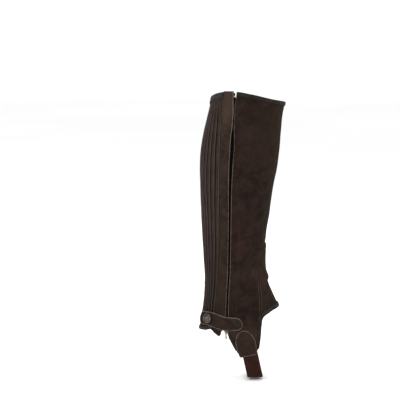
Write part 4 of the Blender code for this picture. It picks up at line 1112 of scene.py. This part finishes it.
def beads(name, runs, step, half_size, finish, seed, uneven=0.06):
    """runs is a list of (points, outward directions) in millimetres. Sizes are in millimetres too."""
    points = np.concatenate([run for run, _ in runs]) * MM
    lifts = np.concatenate([lift for _, lift in runs])
    edges, first = [], 0
    for run, _ in runs:
        edges += [(first + k, first + k + 1) for k in range(len(run) - 1)]
        first += len(run)
    mesh = bpy.data.meshes.new(name + "_runs")
    mesh.from_pydata(points.tolist(), edges, [])
    mesh.attributes.new("lift", "FLOAT_VECTOR", "POINT").data.foreach_set("vector", lifts.astype(np.float32).ravel())
    guide = placed(name + "_runs", mesh)
    change = guide.modifiers.new("beads", "NODES")
    change.node_group = BEADS
    size = [half * MM for half in half_size]
    values = {"Step": step * MM, "Uneven": uneven, "Half size": size, "Seed": seed, "Finish": finish}
    for item in BEADS.interface.items_tree:
        if item.in_out == "INPUT" and item.name in values:
            change[item.identifier] = values[item.name]
    seen = guide.evaluated_get(bpy.context.evaluated_depsgraph_get())
    plain = bpy.data.meshes.new_from_object(seen)
    plain.name = name
    guide.modifiers.remove(change)
    bpy.data.objects.remove(guide, do_unlink=True)
    return placed(name, plain)


def run_on_skin(angles, heights, out, finer=1.0):
    return skin(angles, heights, out, finer), skin_normal(angles, heights)


def sewing():
    """Every row of stitches on the suede, as thread beads sunk a little into the cloth."""
    rows = []
    for seam, low, high in (
        (zip_edge(-1, -3.4), -285, 104), (zip_edge(1, 3.0), -274, 112), (outer_seam(-2.6), -271, 112),
        (inner_seam(2.4), -284, 80), (inner_seam(-2.4), -280, 78), (elastic_inner_edge(2.4), -272, 77),
    ):
        rows.append(run_on_skin(*up_seam(seam, low, high), 0.05))
    pieces = [beads("panel_stitches", rows, 3.1, (1.15, 0.34, 0.26), DARK_THREAD, 3)]
    rows = [run_on_skin(*up_seam(dart_angle(dart), DART_BOTTOM, DART_TOP), -0.15) for dart in DARTS]
    pieces.append(beads("dart_stitches", rows, 2.9, (1.15, 0.4, 0.34), PALE_THREAD, 5))
    at, centre, wide = strap_places(STRAP_STITCH_IN)
    angles = np.concatenate([at, at[::-1], at[:1]])
    heights = np.concatenate([centre + wide, (centre - wide)[::-1], (centre + wide)[:1]])
    rows = [run_on_skin(angles, heights, STRAP_OFF(angles) + SUEDE * 0.97, STRAP_FINER)]
    pieces.append(beads("strap_stitches", rows, 2.8, (1.1, 0.36, 0.28), THREAD, 11))
    spots = patch_outline(PATCH_STITCH_IN)
    for side, name in ((1, "patch_stitches_outer"), (-1, "patch_stitches_inner")):
        angle, height, out = patch_places(np.vstack([spots, spots[:1]]), side, PATCH_STITCH_IN)
        rows = [run_on_skin(angle, height, out + PATCH_CLOTH * 0.95, PATCH_FINER)]
        pieces.append(beads(name, rows, 2.7, (1.1, 0.38, 0.3), THREAD, 13))
    return pieces


def zip_teeth():
    """Two rows of teeth that mesh along the middle of the chain."""
    rows = []
    for side in (-1, 1):
        heights = np.linspace(ZIP_TOP - 1.0 - 0.65 * (side > 0), CHAIN_BOTTOM + 1, 190)
        angles = zip_side(side * 0.95)(heights)
        rows.append(run_on_skin(angles, heights, -SUEDE - SEAM - 0.55))
    return beads("zip_teeth_rows", rows, 2.6, (0.62, 1.5, 0.55), ZIP_TEETH, 19, 0.0)


# ---------------------------------------------------------------- metal pieces
def local_frame(angle, height):
    round_it, up = skin_run(angle, height)
    across = unit(round_it)
    out = skin_normal(angle, height)
    return bare_skin(angle, height) + fold_rise(angle, height) * out, across, out, -np.cross(out, across)


def turned(name, finish, profile, base, segments=64):
    """A round piece from a profile of radius and distance out that starts and ends on its axis."""
    origin, across, out, up = local_frame(SNAP_ANGLE, SNAP_HEIGHT)
    origin = origin + out * base
    points = [origin + out * profile[0][1]]
    for radius, reach in profile[1:-1]:
        for turn in np.linspace(0, 2 * math.pi, segments, endpoint=False):
            points.append(origin + (across * math.cos(turn) + up * math.sin(turn)) * radius + out * reach)
    points.append(origin + out * profile[-1][1])
    rings, faces = len(profile) - 2, []
    for k in range(segments):
        n = (k + 1) % segments
        faces.append((0, 1 + n, 1 + k))
        for ring in range(rings - 1):
            here, there = 1 + ring * segments, 1 + (ring + 1) * segments
            faces.append((here + k, here + n, there + n, there + k))
        last = 1 + (rings - 1) * segments
        faces.append((last + k, last + n, len(points) - 1))
    hollow = [0.0] + [float(abs(radius - 5.65) < 0.5) for radius, _ in profile[1:-1] for _ in range(segments)] + [0.0]
    return facing_out(made(name, points, faces, finish, stored={"hollow": hollow}, smooth=40.0))


def snap():
    base = float(STRAP_OFF(SNAP_ANGLE)) + SUEDE + SEAM
    cap = [(0, 0), (7.3, 0), (7.65, 0.15), (7.8, 0.5), (7.85, 1.0), (7.75, 1.5), (7.5, 1.85), (7.1, 2.1), (6.6, 2.2)]
    cap += [(6.25, 2.15), (6.05, 1.9), (5.9, 1.6), (5.6, 1.5), (5.3, 1.6), (5.1, 1.9), (4.9, 2.25)]
    cap += [(4.5, 2.5), (3.6, 2.62), (2.4, 2.68), (1.2, 2.7), (0, 2.7)]
    stud = [(0, 0), (4.8, 0), (5.0, 0.2), (5.0, 0.6), (4.7, 0.8), (3.6, 0.95), (3.3, 1.3), (3.0, 1.4), (0, 1.4)]
    return turned("snap_cap_metal", PEWTER, cap, base), turned("snap_stud_metal", PEWTER, stud, SEAM, 40)


# ---------------------------------------------------------------- putting it together
def settle(piece, node, flat=None, held="stretched", rests_on=(), area=None, others=()):
    """piece stands for a CAD node and rides on the half chap."""
    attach(piece, HOLD)
    if node:
        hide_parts(node)
    if flat:
        sizes = {"flat": [round(side * MM, 4) for side in flat], "held": held, "rests_on": list(rests_on)}
        if area:
            sizes["area"] = area
        if others:
            sizes["with_pieces"] = list(others)


panel, outer_strip, inner_strip, elastic = front_panel(), rear_strip_outer(), rear_strip_inner(), elastic_back()
tapes, tape_rows = edge_tapes()
strap = snap_strap()
patch_outer, patch_inner = stirrup_patch("patch_suede_outer", 1), stirrup_patch("patch_suede_inner", -1)
stirrup = stirrup_elastic()
zip_front, zip_rear, zip_core = zip_tapes()
cap, stud = snap()

BOTH_STRIPS = ["outer_strip_suede", "inner_strip_suede"]
settle(panel, "front_panel", (330, 440), rests_on=BOTH_STRIPS, area=0.0770)
settle(outer_strip, "rear_strip_outer", (18.5, 405), rests_on=["ribbed_elastic_back"])
settle(inner_strip, "rear_strip_inner", (16.5, 365), rests_on=["ribbed_elastic_back"])
settle(elastic, "elastic_back", (96, 375), rests_on=BOTH_STRIPS)
for piece, node, flat, under in tapes:
    settle(piece, node, flat, held="folded", rests_on=[under])
under_strap = ["front_panel_suede", "ribbed_elastic_back"]
settle(strap, "snap_strap", (22, 80), rests_on=under_strap, area=0.00162)
for piece, node in ((patch_outer, "stirrup_patch_outer"), (patch_inner, "stirrup_patch_inner")):
    settle(piece, node, (32.4, 43.5), held="laid", rests_on=["front_panel_suede"], area=0.00127)
settle(stirrup, "stirrup_elastic", (25, 172), rests_on=["patch_suede_outer", "patch_suede_inner"])
teeth = zip_teeth()
settle(teeth, None)
settle(zip_core, "zip_chain")
settle(zip_front, "zip_tape_front", (10.5, 376),
       rests_on=["front_panel_suede"], others=[zip_core, teeth])
settle(zip_rear, "zip_tape_rear", (10.5, 376), rests_on=["outer_strip_suede"])
settle(cap, "snap_cap")
settle(stud, "snap_stud")
for piece in sewing():
    settle(piece, None)
settle(beads("edge_tape_stitches", tape_rows, 2.9, (1.1, 0.3, 0.22), DARK_THREAD, 17), None)

# Nodes whose solids are right as they are get a better metal
for node, metal in (("zip_slider", PEWTER), ("zip_top_stop", NICKEL), ("zip_pull", NICKEL)):
    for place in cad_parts[node].material_slots:
        place.material = metal

# ---------------------------------------------------------------- camera, floor and light
AIM = Vector((-0.063525, 0.0, -0.066))
CAMERA_SPOT, CAMERA_TILT = (-0.063525, -2.98858, 0.19547), 85
SENSOR, AWAY, SEEN_WIDE = 36.0, 3.0, 0.66
FLOOR_HALF, FLOOR_LEVEL = 14.0, -0.362

camera_data = bpy.data.cameras.new("camera")
camera_data.sensor_width = SENSOR
camera_data.lens = SENSOR * AWAY / SEEN_WIDE
camera_data.clip_end = 60.0
camera = placed("camera", camera_data)
camera.location = CAMERA_SPOT
camera.rotation_euler = (math.radians(CAMERA_TILT), 0, 0)
bpy.context.scene.camera = camera

floor_mesh = bpy.data.meshes.new("floor")
corners = [(x * FLOOR_HALF, y * FLOOR_HALF, FLOOR_LEVEL) for x, y in ((-1, -1), (1, -1), (1, 1), (-1, 1))]
floor_mesh.from_pydata(corners, [], [(0, 1, 2, 3)])
pale = Finish("pale floor", 0.9, specular=0.1)
pale.colour(pale.mix(pale.fit(pale.noise(0.6, 2), 0.3, 0.7), (0.93, 0.93, 0.93, 1.0), (0.95, 0.95, 0.95, 1.0)))
floor_mesh.materials.append(pale.material)
placed("floor", floor_mesh)

world = bpy.data.worlds.new("studio")
world.use_nodes = True
background = world.node_tree.nodes["Background"]
background.inputs["Color"].default_value = (1.0, 1.0, 1.0, 1.0)
background.inputs["Strength"].default_value = 1.05
bpy.context.scene.world = world

for name, spot, size, power in (
    ("key", (-1.0, -2.2, 1.5), (1.2, 1.2), 30),
    ("fill", (1.6, -1.8, 0.6), (1.2, 1.6), 12),
    ("top", (0.0, 0.4, 2.2), (1.6, 1.6), 18),
    ("behind", (-0.6, 2.4, 1.0), (1.6, 1.6), 14),
    ("front", (2.6, 0.6, 0.9), (1.4, 1.4), 10),
):
    data = bpy.data.lights.new(name, "AREA")
    data.energy = power
    data.shape = "RECTANGLE"
    data.size, data.size_y = size
    lamp = placed(name, data)
    lamp.location = spot
    lamp.rotation_euler = (AIM - Vector(spot)).to_track_quat("-Z", "Y").to_euler()

bpy.context.scene.view_settings.view_transform = "Standard"
bpy.context.scene.view_settings.look = "None"
